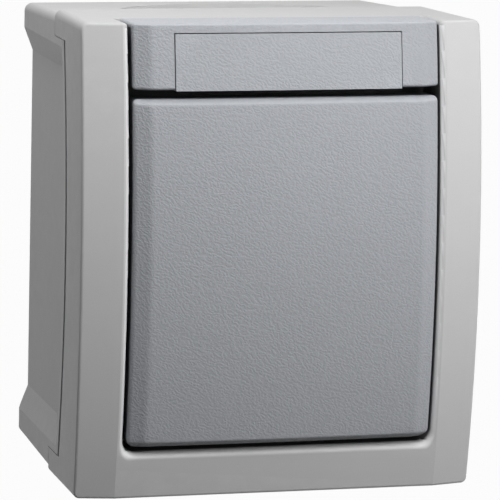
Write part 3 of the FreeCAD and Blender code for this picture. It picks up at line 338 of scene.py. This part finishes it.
def leather_grain():
    """Fine leather grain: short slanted ridges that bend, split and end at random, with pores."""
    group, given, made = shader_group("leather_grain", [("Vector", None), ("Cell Size", 0.0004)],
                                      ["Height", "Valley"])
    scale = maths(group, "DIVIDE", 1.0, given["Cell Size"])

    bend_scale, bend_reach, middle = 0.3, 1.6, (0.5, 0.5, 0.5)
    bend = noise(group, given["Vector"], product(group, scale, bend_scale), detail=1.0)["Color"]
    centred = vector_maths(group, "SUBTRACT", bend, middle)
    reach = product(group, given["Cell Size"], bend_reach)
    shift = node(group, "ShaderNodeVectorMath", [(0, centred), ("Scale", reach)],
                 operation="SCALE").outputs[0]
    moved = vector_maths(group, "ADD", given["Vector"], shift)

    slant, stretch = math.radians(-27.0), (0.62, 1.0, 1.0)
    turned = node(group, "ShaderNodeVectorRotate", [("Vector", moved), ("Angle", slant)],
                  rotation_type="Y_AXIS").outputs[0]
    slanted = vector_maths(group, "MULTIPLY", turned, stretch)
    ridges = noise(group, slanted, scale, detail=1.0, roughness=0.4)[0]
    crown = ramp(group, ridges, start=0.38, end=0.62, curve="SMOOTHSTEP")

    pore_scale, pore_height = 2.0, 0.35
    pores = noise(group, moved, product(group, scale, pore_scale), detail=2.0)[0]
    height = maths(group, "ADD", crown, product(group, pores, pore_height))
    group.links.new(height, made["Height"])
    valley = ramp(group, height, start=0.1, end=0.8, low=1.0, high=0.0)
    group.links.new(valley, made["Valley"])
    return group


def moulded_grain():
    """Fine eroded grain of a satin moulding, and a broad faint cloud."""
    group, given, made = shader_group("moulded_grain", [("Vector", None), ("Grain Size", 0.0003)],
                                      ["Height", "Cloud"])
    scale = maths(group, "DIVIDE", 1.0, given["Grain Size"])
    fine = noise(group, given["Vector"], scale, detail=2.0, roughness=0.6)[0]
    broad = noise(group, given["Vector"], scale=55.0, detail=4.0, roughness=0.55)[0]
    group.links.new(fine, made["Height"])
    group.links.new(broad, made["Cloud"])
    return group


def rubbed_edges():
    """Where edges are rubbed a little smoother and lighter."""
    group, given, made = shader_group("rubbed_edges", [("Vector", None), ("Amount", 0.5)], ["Mask"])
    pointed = node(group, "ShaderNodeNewGeometry").outputs["Pointiness"]
    sharp = ramp(group, pointed, start=0.505, end=0.56)
    broken = noise(group, given["Vector"], scale=420.0, detail=4.0)[0]
    patch = ramp(group, broken, start=0.35, end=0.7)
    group.links.new(product(group, sharp, patch, given["Amount"]), made["Mask"])
    return group


def settled_dust():
    """Dust that settles on faces that look up."""
    group, given, made = shader_group("settled_dust", [("Vector", None), ("Amount", 0.1)], ["Mask"])
    facing = axes(group, node(group, "ShaderNodeNewGeometry").outputs["True Normal"])
    upward = ramp(group, facing["Z"], start=0.55, end=1.0)
    specks = noise(group, given["Vector"], scale=260.0, detail=6.0, roughness=0.7)[0]
    cover = ramp(group, specks, start=0.4, end=0.75)
    group.links.new(product(group, upward, cover, given["Amount"]), made["Mask"])
    return group


def joint_grime():
    """Painted shade in the joint around the rocker and the band, darker with depth, and a painted
    highlight on the lip of the opening.
    """
    group, given, made = shader_group("joint_grime", [("Vector", None), ("Amount", 1.0)],
                                      ["Mask", "Lip"])
    place = axes(group, given["Vector"])
    aside = maths(group, "ABSOLUTE", place["X"])
    under_top = maths(group, "LESS_THAN", place["Z"], JOINT_TOP)

    drop = maths(group, "DIVIDE", product(group, place["Z"], place["Z"]), BOW_RADIUS * 2.0)
    front = maths(group, "SUBTRACT", CREST_DEPTH, drop)
    at_sill = maths(group, "LESS_THAN", place["Z"], JOINT_SILL)
    below = maths(group, "SUBTRACT", maths(group, "ADD", front, place["Y"]),
                  product(group, at_sill, SILL_DEPTH))
    # painted shade, darker the deeper a place lies below the bowed front
    deep = ramp(group, below, JOINT_START, JOINT_DARK, curve="SMOOTHSTEP")
    inside = maths(group, "LESS_THAN", aside, JOINT_HALF_WIDTH)
    over_bottom = maths(group, "GREATER_THAN", place["Z"], JOINT_BOTTOM)
    over_floor = maths(group, "LESS_THAN", place["Y"], JOINT_FLOOR)
    mask = product(group, deep, inside, over_bottom, under_top, over_floor, given["Amount"])
    group.links.new(mask, made["Mask"])

    # painted highlight: a pale band along the sides, corners and lower edge of the opening's lip
    across = product(group, maths(group, "SUBTRACT", aside, OPENING_HALF_WIDTH), LIP_SIDE_SQUEEZE)
    down = maths(group, "SUBTRACT", OPENING_BOTTOM, place["Z"])
    squares = [maths(group, "POWER",
                     maths(group, "MAXIMUM", maths(group, "ADD", reach, OPENING_CORNER), 0.0), 2.0)
               for reach in (across, down)]
    away = maths(group, "SUBTRACT", maths(group, "SQRT", maths(group, "ADD", *squares)),
                 OPENING_CORNER)
    pale = ramp(group, away, LIP_GONE, LIP_FULL, curve="SMOOTHSTEP")
    over_lip = maths(group, "LESS_THAN", place["Y"], LIP_FLOOR)
    group.links.new(product(group, pale, under_top, over_lip), made["Lip"])
    return group


def drawn_metal():
    """Drawn lines and small stains of plated metal."""
    group, given, made = shader_group("drawn_metal", [("Vector", None), ("Line Width", 0.0001)],
                                      ["Height", "Stain"])
    stretch = (0.06, 1.0, 1.0)
    stretched = node(group, "ShaderNodeMapping",
                     [("Vector", given["Vector"]), ("Scale", stretch)]).outputs[0]
    scale = maths(group, "DIVIDE", 1.0, given["Line Width"])
    group.links.new(noise(group, stretched, scale, detail=2.0)[0], made["Height"])
    group.links.new(noise(group, given["Vector"], scale=300.0, detail=5.0)[0], made["Stain"])
    return group


def effect(tree, build, place, **values):
    """Puts a shared effect into a material, building it the first time; gives its outputs."""
    group = bpy.data.node_groups.get(build.__name__) or build()
    used = node(tree, "ShaderNodeGroup", node_tree=group)
    tree.links.new(place, used.inputs["Vector"])
    for title, value in values.items():
        used.inputs[title.replace("_", " ")].default_value = value
    return used.outputs


# Materials


def plain_material(name, roughness, metallic=0.0, specular=0.5):
    """A material with the numbers of its surface shader set; gives material, tree and shader."""
    made = bpy.data.materials.new(name)
    made.use_nodes = True
    shader = made.node_tree.nodes["Principled BSDF"]
    shader.inputs["Roughness"].default_value = roughness
    shader.inputs["Metallic"].default_value = metallic
    shader.inputs["Specular IOR Level"].default_value = specular
    return made, made.node_tree, shader


def object_place(tree):
    """The place on the object, which stays on it when it moves."""
    return node(tree, "ShaderNodeTexCoord").outputs["Object"]


def raise_surface(tree, shader, height, depth):
    """Bump of a given depth in metres from a height between none and one."""
    bump = node(tree, "ShaderNodeBump",
                [("Height", height), ("Distance", depth), ("Strength", 1.0)])
    tree.links.new(bump.outputs[0], shader.inputs["Normal"])


def housing_material(look):
    """Light grey satin moulding: faint cloud, rubbed edges, dust, painted shade in the joint and a
    painted highlight on the opening's lip.
    """
    made, tree, shader = plain_material("housing_grey", look.roughness, specular=0.15)
    place = object_place(tree)
    grain = effect(tree, moulded_grain, place, Grain_Size=look.grain_size)
    rubbed = effect(tree, rubbed_edges, place, Amount=0.35)["Mask"]
    dust = effect(tree, settled_dust, place, Amount=look.dust)["Mask"]
    joint = effect(tree, joint_grime, place, Amount=PAINTED_SHADE_AMOUNT)
    dust_colour = (0.55, 0.53, 0.49, 1.0)
    edge_light, painted_lip_highlight, edge_smooth = 1.12, 1.45, 0.12
    base = clouded(tree, grain["Cloud"], look.tint, dark=0.965, light=1.03)
    worn = blend(tree, rubbed, base, shaded(look.tint, edge_light))
    dusted = blend(tree, dust, worn, dust_colour)
    # painted highlight on the opening's lip
    lip_highlighted = blend(tree, joint["Lip"], dusted, shaded(look.tint, painted_lip_highlight))
    # painted shade in the joint
    tree.links.new(blend(tree, joint["Mask"], lip_highlighted, PAINTED_SHADE_COLOUR), shader.inputs["Base Color"])
    rough = ramp(tree, grain["Height"], start=0.0, end=1.0,
                 low=look.roughness - 0.04, high=look.roughness + 0.06)
    smooth = maths(tree, "SUBTRACT", rough, product(tree, rubbed, edge_smooth))
    tree.links.new(maths(tree, "ADD", smooth, dust), shader.inputs["Roughness"])
    raise_surface(tree, shader, grain["Height"], look.grain_depth)
    return made


def leather_material(name, look, tint):
    """Cool grey moulding with leather grain, darker in its valleys, with a painted highlight on
    faces that look up and painted shade on faces that look down."""
    made, tree, shader = plain_material(name, look.roughness, specular=0.3)
    place = object_place(tree)
    fine_share, fine_height = 0.3, 0.12
    edge_light, edge_smooth, painted_top_highlight = 1.15, 0.1, 1.2
    valley_cover, valley_dark, valley_matt = 0.35, 0.88, 0.16
    leather = effect(tree, leather_grain, place, Cell_Size=look.cell_size)
    grain = effect(tree, moulded_grain, place, Grain_Size=look.cell_size * fine_share)
    rubbed = effect(tree, rubbed_edges, place, Amount=0.5)["Mask"]
    # painted shade in the joint
    joint_shade_mask = effect(tree, joint_grime, place, Amount=PAINTED_SHADE_AMOUNT)["Mask"]
    facing = axes(tree, node(tree, "ShaderNodeNewGeometry").outputs["Normal"])
    # masks for a painted highlight on faces that look up and painted shade on faces that look down
    upper = ramp(tree, facing["Z"], start=0.3, end=0.7)
    lower = ramp(tree, facing["Z"], start=-0.4, end=-0.8, high=0.6)
    base = clouded(tree, grain["Cloud"], tint, dark=0.975, light=1.025)
    sunk = product(tree, leather["Valley"], valley_cover)
    deep = blend(tree, sunk, base, shaded(tint, valley_dark))
    worn = blend(tree, rubbed, deep, shaded(tint, edge_light))
    # faces that look up are painted lighter as a highlight, faces that look down darker as shade
    pale = blend(tree, upper, worn, shaded(tint, painted_top_highlight))
    painted_underside_shade = blend(tree, lower, pale, PAINTED_SHADE_COLOUR)
    tree.links.new(blend(tree, joint_shade_mask, painted_underside_shade, PAINTED_SHADE_COLOUR), shader.inputs["Base Color"])
    rough = ramp(tree, leather["Valley"], start=0.0, end=1.0,
                 low=look.roughness, high=look.roughness + valley_matt)
    smooth = maths(tree, "SUBTRACT", rough, product(tree, rubbed, edge_smooth))
    tree.links.new(smooth, shader.inputs["Roughness"])
    raised = maths(tree, "ADD", leather["Height"], product(tree, grain["Height"], fine_height))
    raise_surface(tree, shader, raised, look.cell_depth)
    return made


def rubber_material(name, tint, roughness):
    """Soft matt rubber with a faint bloom and dust."""
    made, tree, shader = plain_material(name, roughness, specular=0.3)
    place = object_place(tree)
    grain = effect(tree, moulded_grain, place, Grain_Size=0.00035)
    dust = effect(tree, settled_dust, place, Amount=0.12)["Mask"]
    dust_colour = (0.5, 0.49, 0.46, 1.0)
    base = clouded(tree, grain["Cloud"], tint, dark=0.9, light=1.08)
    tree.links.new(blend(tree, dust, base, dust_colour), shader.inputs["Base Color"])
    rough = rising(tree, grain["Height"], lowest=roughness - 0.07, rise=0.15)
    tree.links.new(rough, shader.inputs["Roughness"])
    raise_surface(tree, shader, grain["Height"], depth=0.000012)
    return made


def moulding_material(name, tint, roughness):
    """Plain technical moulding with lighter edges."""
    made, tree, shader = plain_material(name, roughness)
    place = object_place(tree)
    grain = effect(tree, moulded_grain, place, Grain_Size=0.0005)
    rubbed = effect(tree, rubbed_edges, place, Amount=0.3)["Mask"]
    base = clouded(tree, grain["Cloud"], tint, dark=0.95, light=1.04)
    worn = blend(tree, rubbed, base, shaded(tint, factor=1.1))
    tree.links.new(worn, shader.inputs["Base Color"])
    rough = rising(tree, grain["Height"], lowest=roughness - 0.05, rise=0.1)
    tree.links.new(rough, shader.inputs["Roughness"])
    raise_surface(tree, shader, grain["Height"], depth=0.000008)
    return made


def metal_material(name, tint, roughness, line_width):
    """Drawn or plated metal with faint stains and bright edges."""
    made, tree, shader = plain_material(name, roughness, metallic=1.0)
    place = object_place(tree)
    drawn = effect(tree, drawn_metal, place, Line_Width=line_width)
    rubbed = effect(tree, rubbed_edges, place, Amount=0.6)["Mask"]
    base = clouded(tree, drawn["Stain"], tint, dark=0.82, light=1.08)
    worn = blend(tree, rubbed, base, shaded(tint, factor=1.2))
    tree.links.new(worn, shader.inputs["Base Color"])
    rough = rising(tree, drawn["Stain"], lowest=roughness - 0.1, rise=0.2)
    tree.links.new(rough, shader.inputs["Roughness"])
    raise_surface(tree, shader, drawn["Height"], depth=0.000004)
    return made


def dress(material, *names):
    """Gives CAD nodes, or the pieces that stand for them, their material."""
    for name in names:
        slots = STAND_INS.get(name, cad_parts[name]).material_slots
        if not len(slots):
            raise RuntimeError("no material slot on " + name)
        for slot in slots:
            slot.material = material


# Soft front edges


def slope_profile(reach, slope):
    """How far a surface falls back at this reach past the start of its slope: gently at first."""
    if reach <= 0.0:
        return 0.0
    if reach < SOFT_START:
        return slope * reach * reach / (2.0 * SOFT_START)
    return slope * (reach - SOFT_START / 2.0)


def near_front(point, front, full, gone):
    """One down to the first depth below the bowed front, falling to none at the second."""
    below = point.y + front - point.z * point.z / (BOW_RADIUS * 2.0)
    return min(1.0, max(0.0, (gone - below) / (gone - full)))


def stand_in(context, name, title, body, cuts, fall):
    """Copies a CAD node, cuts the copy into narrow strips along its edges and sets each point
    back by its fall."""
    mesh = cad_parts[name].data.copy()
    mesh.name = title
    mesh.attributes.remove(mesh.attributes["custom_normal"])
    shape = bmesh.new()
    shape.from_mesh(mesh)
    for place, normal in cuts:
        faces = [face for face in shape.faces if face.calc_center_median().y < CUT_FLOOR]
        edges = dict.fromkeys(edge for face in faces for edge in face.edges)
        points = dict.fromkeys(point for face in faces for point in face.verts)
        bmesh.ops.bisect_plane(shape, geom=faces + list(edges) + list(points), plane_co=place,
                               plane_no=normal, dist=1e-6)
    for point in shape.verts:
        point.co.y += fall(point.co)
    shape.to_mesh(mesh)
    shape.free()
    mesh.shade_smooth()
    mesh.set_sharp_from_angle(angle=math.radians(SMOOTH_ANGLE))
    piece = bpy.data.objects.new(title, mesh)
    context.scene.collection.objects.link(piece)
    even = piece.modifiers.new("even_shading", "WEIGHTED_NORMAL")
    even.keep_sharp = True
    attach(piece, body)
    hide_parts(name)
    STAND_INS[name] = piece


def soften_rocker(context, look):
    """The rocker with sloping lower and upper edges."""
    low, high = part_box("rocker")

    def fall(point):
        foot = slope_profile(low.z + look.foot_width - point.z, look.foot_slope)
        head = slope_profile(point.z - high.z + look.head_width, look.head_slope)
        return (foot + head) * near_front(point, -low.y, *ROCKER_LAYER)

    cuts = [((0.0, 0.0, low.z + look.foot_width * part), LEVEL) for part in STRIPS]
    cuts += [((0.0, 0.0, high.z - look.head_width * part), LEVEL) for part in STRIPS]
    stand_in(context, "rocker", "rocker_plate", "rocker", cuts, fall)


def soften_cover(context, look):
    """The cover with a rounded lip along the sides, corners and lower edge of its opening."""
    low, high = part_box("rocker")
    half, sill = high.x + SIDE_GAP, low.z - SILL_GAP
    front = -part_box("front_cover")[0].y

    def fall(point):
        across = abs(point.x) - half + look.lip_corner
        down = sill + look.lip_corner - point.z
        round_corner = math.hypot(max(across, 0.0), max(down, 0.0))
        away = round_corner + min(max(across, down), 0.0) - look.lip_corner
        if away < -OPENING_PLAY:
            return 0.0
        level_share = min(1.0, max(0.0, down / look.lip_corner))
        slope = look.side_slope + (look.lip_slope - look.side_slope) * level_share
        return slope_profile(look.lip_width - away, slope) * near_front(point, front, *COVER_LAYER)

    cuts = [((side * (half + look.lip_width * part), 0.0, 0.0), UPRIGHT)
            for side in (-1.0, 1.0) for part in STRIPS]
    cuts += [((0.0, 0.0, sill - look.lip_width * part), LEVEL) for part in STRIPS]
    stand_in(context, "front_cover", "frame_cover", "housing", cuts, fall)


# Studio


def place_camera(context, setup):
    """The camera of the photograph: a long lens from the upper left."""
    sin_yaw, cos_yaw = math.sin(setup.yaw), math.cos(setup.yaw)
    sin_pitch, cos_pitch = math.sin(setup.pitch), math.cos(setup.pitch)
    ahead = Vector((sin_yaw * cos_pitch, cos_yaw * cos_pitch, -sin_pitch))
    right = Vector((cos_yaw, -sin_yaw, 0.0))
    up = right.cross(ahead)
    aim = Vector((0.0, -setup.aim_depth, 0.0)) + right * setup.aim_right - up * setup.aim_down
    sin_roll, cos_roll = math.sin(setup.roll), math.cos(setup.roll)
    across = right * cos_roll + up * sin_roll
    upright = up * cos_roll - right * sin_roll
    lens = bpy.data.cameras.new("photo_camera")
    lens.sensor_width = SENSOR_WIDTH
    lens.lens = setup.focal_ratio * lens.sensor_width
    lens.clip_start = 0.01
    lens.clip_end = 100.0
    camera = bpy.data.objects.new("photo_camera", lens)
    context.scene.collection.objects.link(camera)
    turn = Matrix((across, upright, -ahead)).transposed().to_4x4()
    camera.matrix_world = Matrix.Translation(aim - ahead * setup.distance) @ turn
    context.scene.camera = camera


def add_lamp(context, setup, name, azimuth, elevation, power):
    """A square soft lamp that looks at the object."""
    light = bpy.data.lights.new(name, "AREA")
    light.shape = "SQUARE"
    light.size = setup.lamp_size
    light.energy = power
    lamp = bpy.data.objects.new(name, light)
    context.scene.collection.objects.link(lamp)
    around, raised = math.radians(azimuth), math.radians(elevation)
    away = Vector((math.cos(raised) * math.sin(around), -math.cos(raised) * math.cos(around),
                   math.sin(raised)))
    aim = Vector((0.0, -LIT_DEPTH, 0.0))
    lamp.location = aim + away * setup.lamp_distance
    lamp.rotation_euler = (-away).to_track_quat("-Z", "Y").to_euler()
    lamp.visible_camera = False


def seen_directly(tree):
    """One for rays that show the background itself: straight, mirrored or through glass; gives
    its output."""
    path = node(tree, "ShaderNodeLightPath").outputs
    mirrored = maths(tree, "MAXIMUM", path["Is Glossy Ray"], path["Is Transmission Ray"])
    return maths(tree, "MAXIMUM", path["Is Camera Ray"], mirrored)


def add_floor(context, setup):
    """A wide round pale floor well below the object, near white where it is seen and clear from
    below."""
    mesh = bpy.data.meshes.new("studio_floor")
    shape = bmesh.new()
    bmesh.ops.create_circle(shape, cap_ends=True, segments=96, radius=FLOOR_RADIUS)
    shape.to_mesh(mesh)
    shape.free()
    floor = bpy.data.objects.new("studio_floor", mesh)
    context.scene.collection.objects.link(floor)
    floor.location = (0.0, 0.0, CAD_BOX[0][2] - setup.floor_drop)
    made, tree, shader = plain_material("studio_floor", roughness=0.9, specular=0.1)
    shader.inputs["Base Color"].default_value = FLOOR_COLOUR
    glow = node(tree, "ShaderNodeEmission", [("Strength", 1.0)]).outputs[0]
    clear = node(tree, "ShaderNodeBsdfTransparent").outputs[0]
    seen = product(tree, seen_directly(tree), FLOOR_WHITENESS)
    below = node(tree, "ShaderNodeNewGeometry").outputs["Backfacing"]
    above = node(tree, "ShaderNodeMixShader", [(0, seen), (1, shader.outputs[0]), (2, glow)])
    shown = node(tree, "ShaderNodeMixShader", [(0, below), (1, above.outputs[0]), (2, clear)])
    tree.links.new(shown.outputs[0], tree.nodes["Material Output"].inputs["Surface"])
    mesh.materials.append(made)


def light_world(context, strength):
    """An even light from all around, and plain white where the background is seen."""
    world = bpy.data.worlds.new("studio")
    context.scene.world = world
    world.use_nodes = True
    tree = world.node_tree
    back = tree.nodes["Background"]
    back.inputs["Color"].default_value = (1.0, 1.0, 1.0, 1.0)
    level = node(tree, "ShaderNodeMix", [(0, seen_directly(tree)), (2, strength), (3, 1.0)],
                 data_type="FLOAT")
    tree.links.new(level.outputs[0], back.inputs["Strength"])


# Operators, one for each group of like pieces and one for the studio


class SWITCH_OT_edges(bpy.types.Operator):
    """Give the rocker and the cover's opening their soft front edges"""
    bl_idname = "surface_switch.edges"
    bl_label = "Soft front edges"

    def execute(self, context):
        look = context.scene.edge_shapes
        soften_rocker(context, look)
        soften_cover(context, look)
        return {"FINISHED"}


class SWITCH_OT_housing(bpy.types.Operator):
    """Give the rear box and the front cover their satin light grey moulding"""
    bl_idname = "surface_switch.housing"
    bl_label = "Housing"

    def execute(self, context):
        dress(housing_material(context.scene.housing_finish), "rear_box", "front_cover")
        return {"FINISHED"}


class SWITCH_OT_rocker(bpy.types.Operator):
    """Give the rocker, the band and the label plate their cool grey leather grain"""
    bl_idname = "surface_switch.rocker"
    bl_label = "Rocker, band and label plate"

    def execute(self, context):
        look = context.scene.rocker_finish
        dress(leather_material("rocker_grey", look, look.tint), "rocker", "top_band")
        dress(leather_material("label_plate_grey", look, look.plate_tint), "label_plate")
        return {"FINISHED"}


class SWITCH_OT_seals(bpy.types.Operator):
    """Give the membranes, the gasket and the actuator seal their rubber"""
    bl_idname = "surface_switch.seals"
    bl_label = "Membranes and seals"

    def execute(self, context):
        look = context.scene.seal_finish
        dress(rubber_material("membrane_grey", look.membrane_tint, look.roughness),
              "entry_membrane_top", "entry_membrane_bottom")
        dress(rubber_material("seal_rubber", look.seal_tint, look.roughness),
              "cover_gasket", "actuator_seal")
        return {"FINISHED"}


class SWITCH_OT_mechanism(bpy.types.Operator):
    """Give the mouldings of the mechanism their finish"""
    bl_idname = "surface_switch.mechanism"
    bl_label = "Mechanism mouldings"

    def execute(self, context):
        look = context.scene.mechanism_finish
        dress(moulding_material("mechanism_white", look.base_tint, look.roughness),
              "mechanism_base", "mechanism_cover")
        dress(moulding_material("toggle_plastic", look.toggle_tint, look.roughness), "toggle")
        return {"FINISHED"}


class SWITCH_OT_metal(bpy.types.Operator):
    """Give the steel and brass pieces their finish"""
    bl_idname = "surface_switch.metal"
    bl_label = "Steel and brass pieces"

    def execute(self, context):
        look = context.scene.metal_finish
        steel = metal_material("zinc_steel", look.steel_tint, look.steel_roughness,
                               look.brush_size)
        dress(steel, "support_plate", "cover_screws", "mechanism_screws", "terminal_screws",
              "earth_screw", "toggle_axle", "plunger", "plunger_spring")
        brass = metal_material("contact_brass", look.brass_tint, look.brass_roughness,
                               look.brush_size)
        dress(brass, "contact_lever", "contact_saddle", "fixed_contact_upper",
              "fixed_contact_lower", "terminal_clamp_upper", "terminal_clamp_lower",
              "terminal_clamp_common", "earth_terminal")
        return {"FINISHED"}


class SWITCH_OT_studio(bpy.types.Operator):
    """Set up the camera, the pale floor and the soft lamps"""
    bl_idname = "surface_switch.studio"
    bl_label = "Studio"

    def execute(self, context):
        setup = context.scene.studio_setup
        place_camera(context, setup)
        add_floor(context, setup)
        light_world(context, setup.ambient)
        for name, azimuth, elevation, power in LAMPS:
            add_lamp(context, setup, name, azimuth, elevation, getattr(setup, power))
        context.scene.view_settings.view_transform = "Standard"
        return {"FINISHED"}


OPERATORS = (SWITCH_OT_edges, SWITCH_OT_housing, SWITCH_OT_rocker, SWITCH_OT_seals,
             SWITCH_OT_mechanism, SWITCH_OT_metal, SWITCH_OT_studio)


class SWITCH_PT_panel(bpy.types.Panel):
    """Lists the steps and the settings of each finish"""
    bl_idname = "SWITCH_PT_panel"
    bl_label = "Weatherproof switch"
    bl_space_type = "VIEW_3D"
    bl_region_type = "UI"
    bl_category = "Switch"

    def draw(self, context):
        for operator in OPERATORS:
            self.layout.operator(operator.bl_idname)
        for title, group in FINISHES.items():
            box = self.layout.box()
            for name in group.__annotations__:
                box.prop(getattr(context.scene, title), name)


def register():
    """Registers the settings, the operators and the panel."""
    for title, group in FINISHES.items():
        bpy.utils.register_class(group)
        setattr(bpy.types.Scene, title, PointerProperty(type=group))
    for operator in OPERATORS:
        bpy.utils.register_class(operator)
    bpy.utils.register_class(SWITCH_PT_panel)


def unregister():
    """Takes back what register did."""
    bpy.utils.unregister_class(SWITCH_PT_panel)
    for operator in reversed(OPERATORS):
        bpy.utils.unregister_class(operator)
    for title, group in FINISHES.items():
        delattr(bpy.types.Scene, title)
        bpy.utils.unregister_class(group)


def main():
    """Builds everything in order."""
    register()
    bpy.ops.surface_switch.edges()
    bpy.ops.surface_switch.housing()
    bpy.ops.surface_switch.rocker()
    bpy.ops.surface_switch.seals()
    bpy.ops.surface_switch.mechanism()
    bpy.ops.surface_switch.metal()
    bpy.ops.surface_switch.studio()


if __name__ == "__main__":
    main()
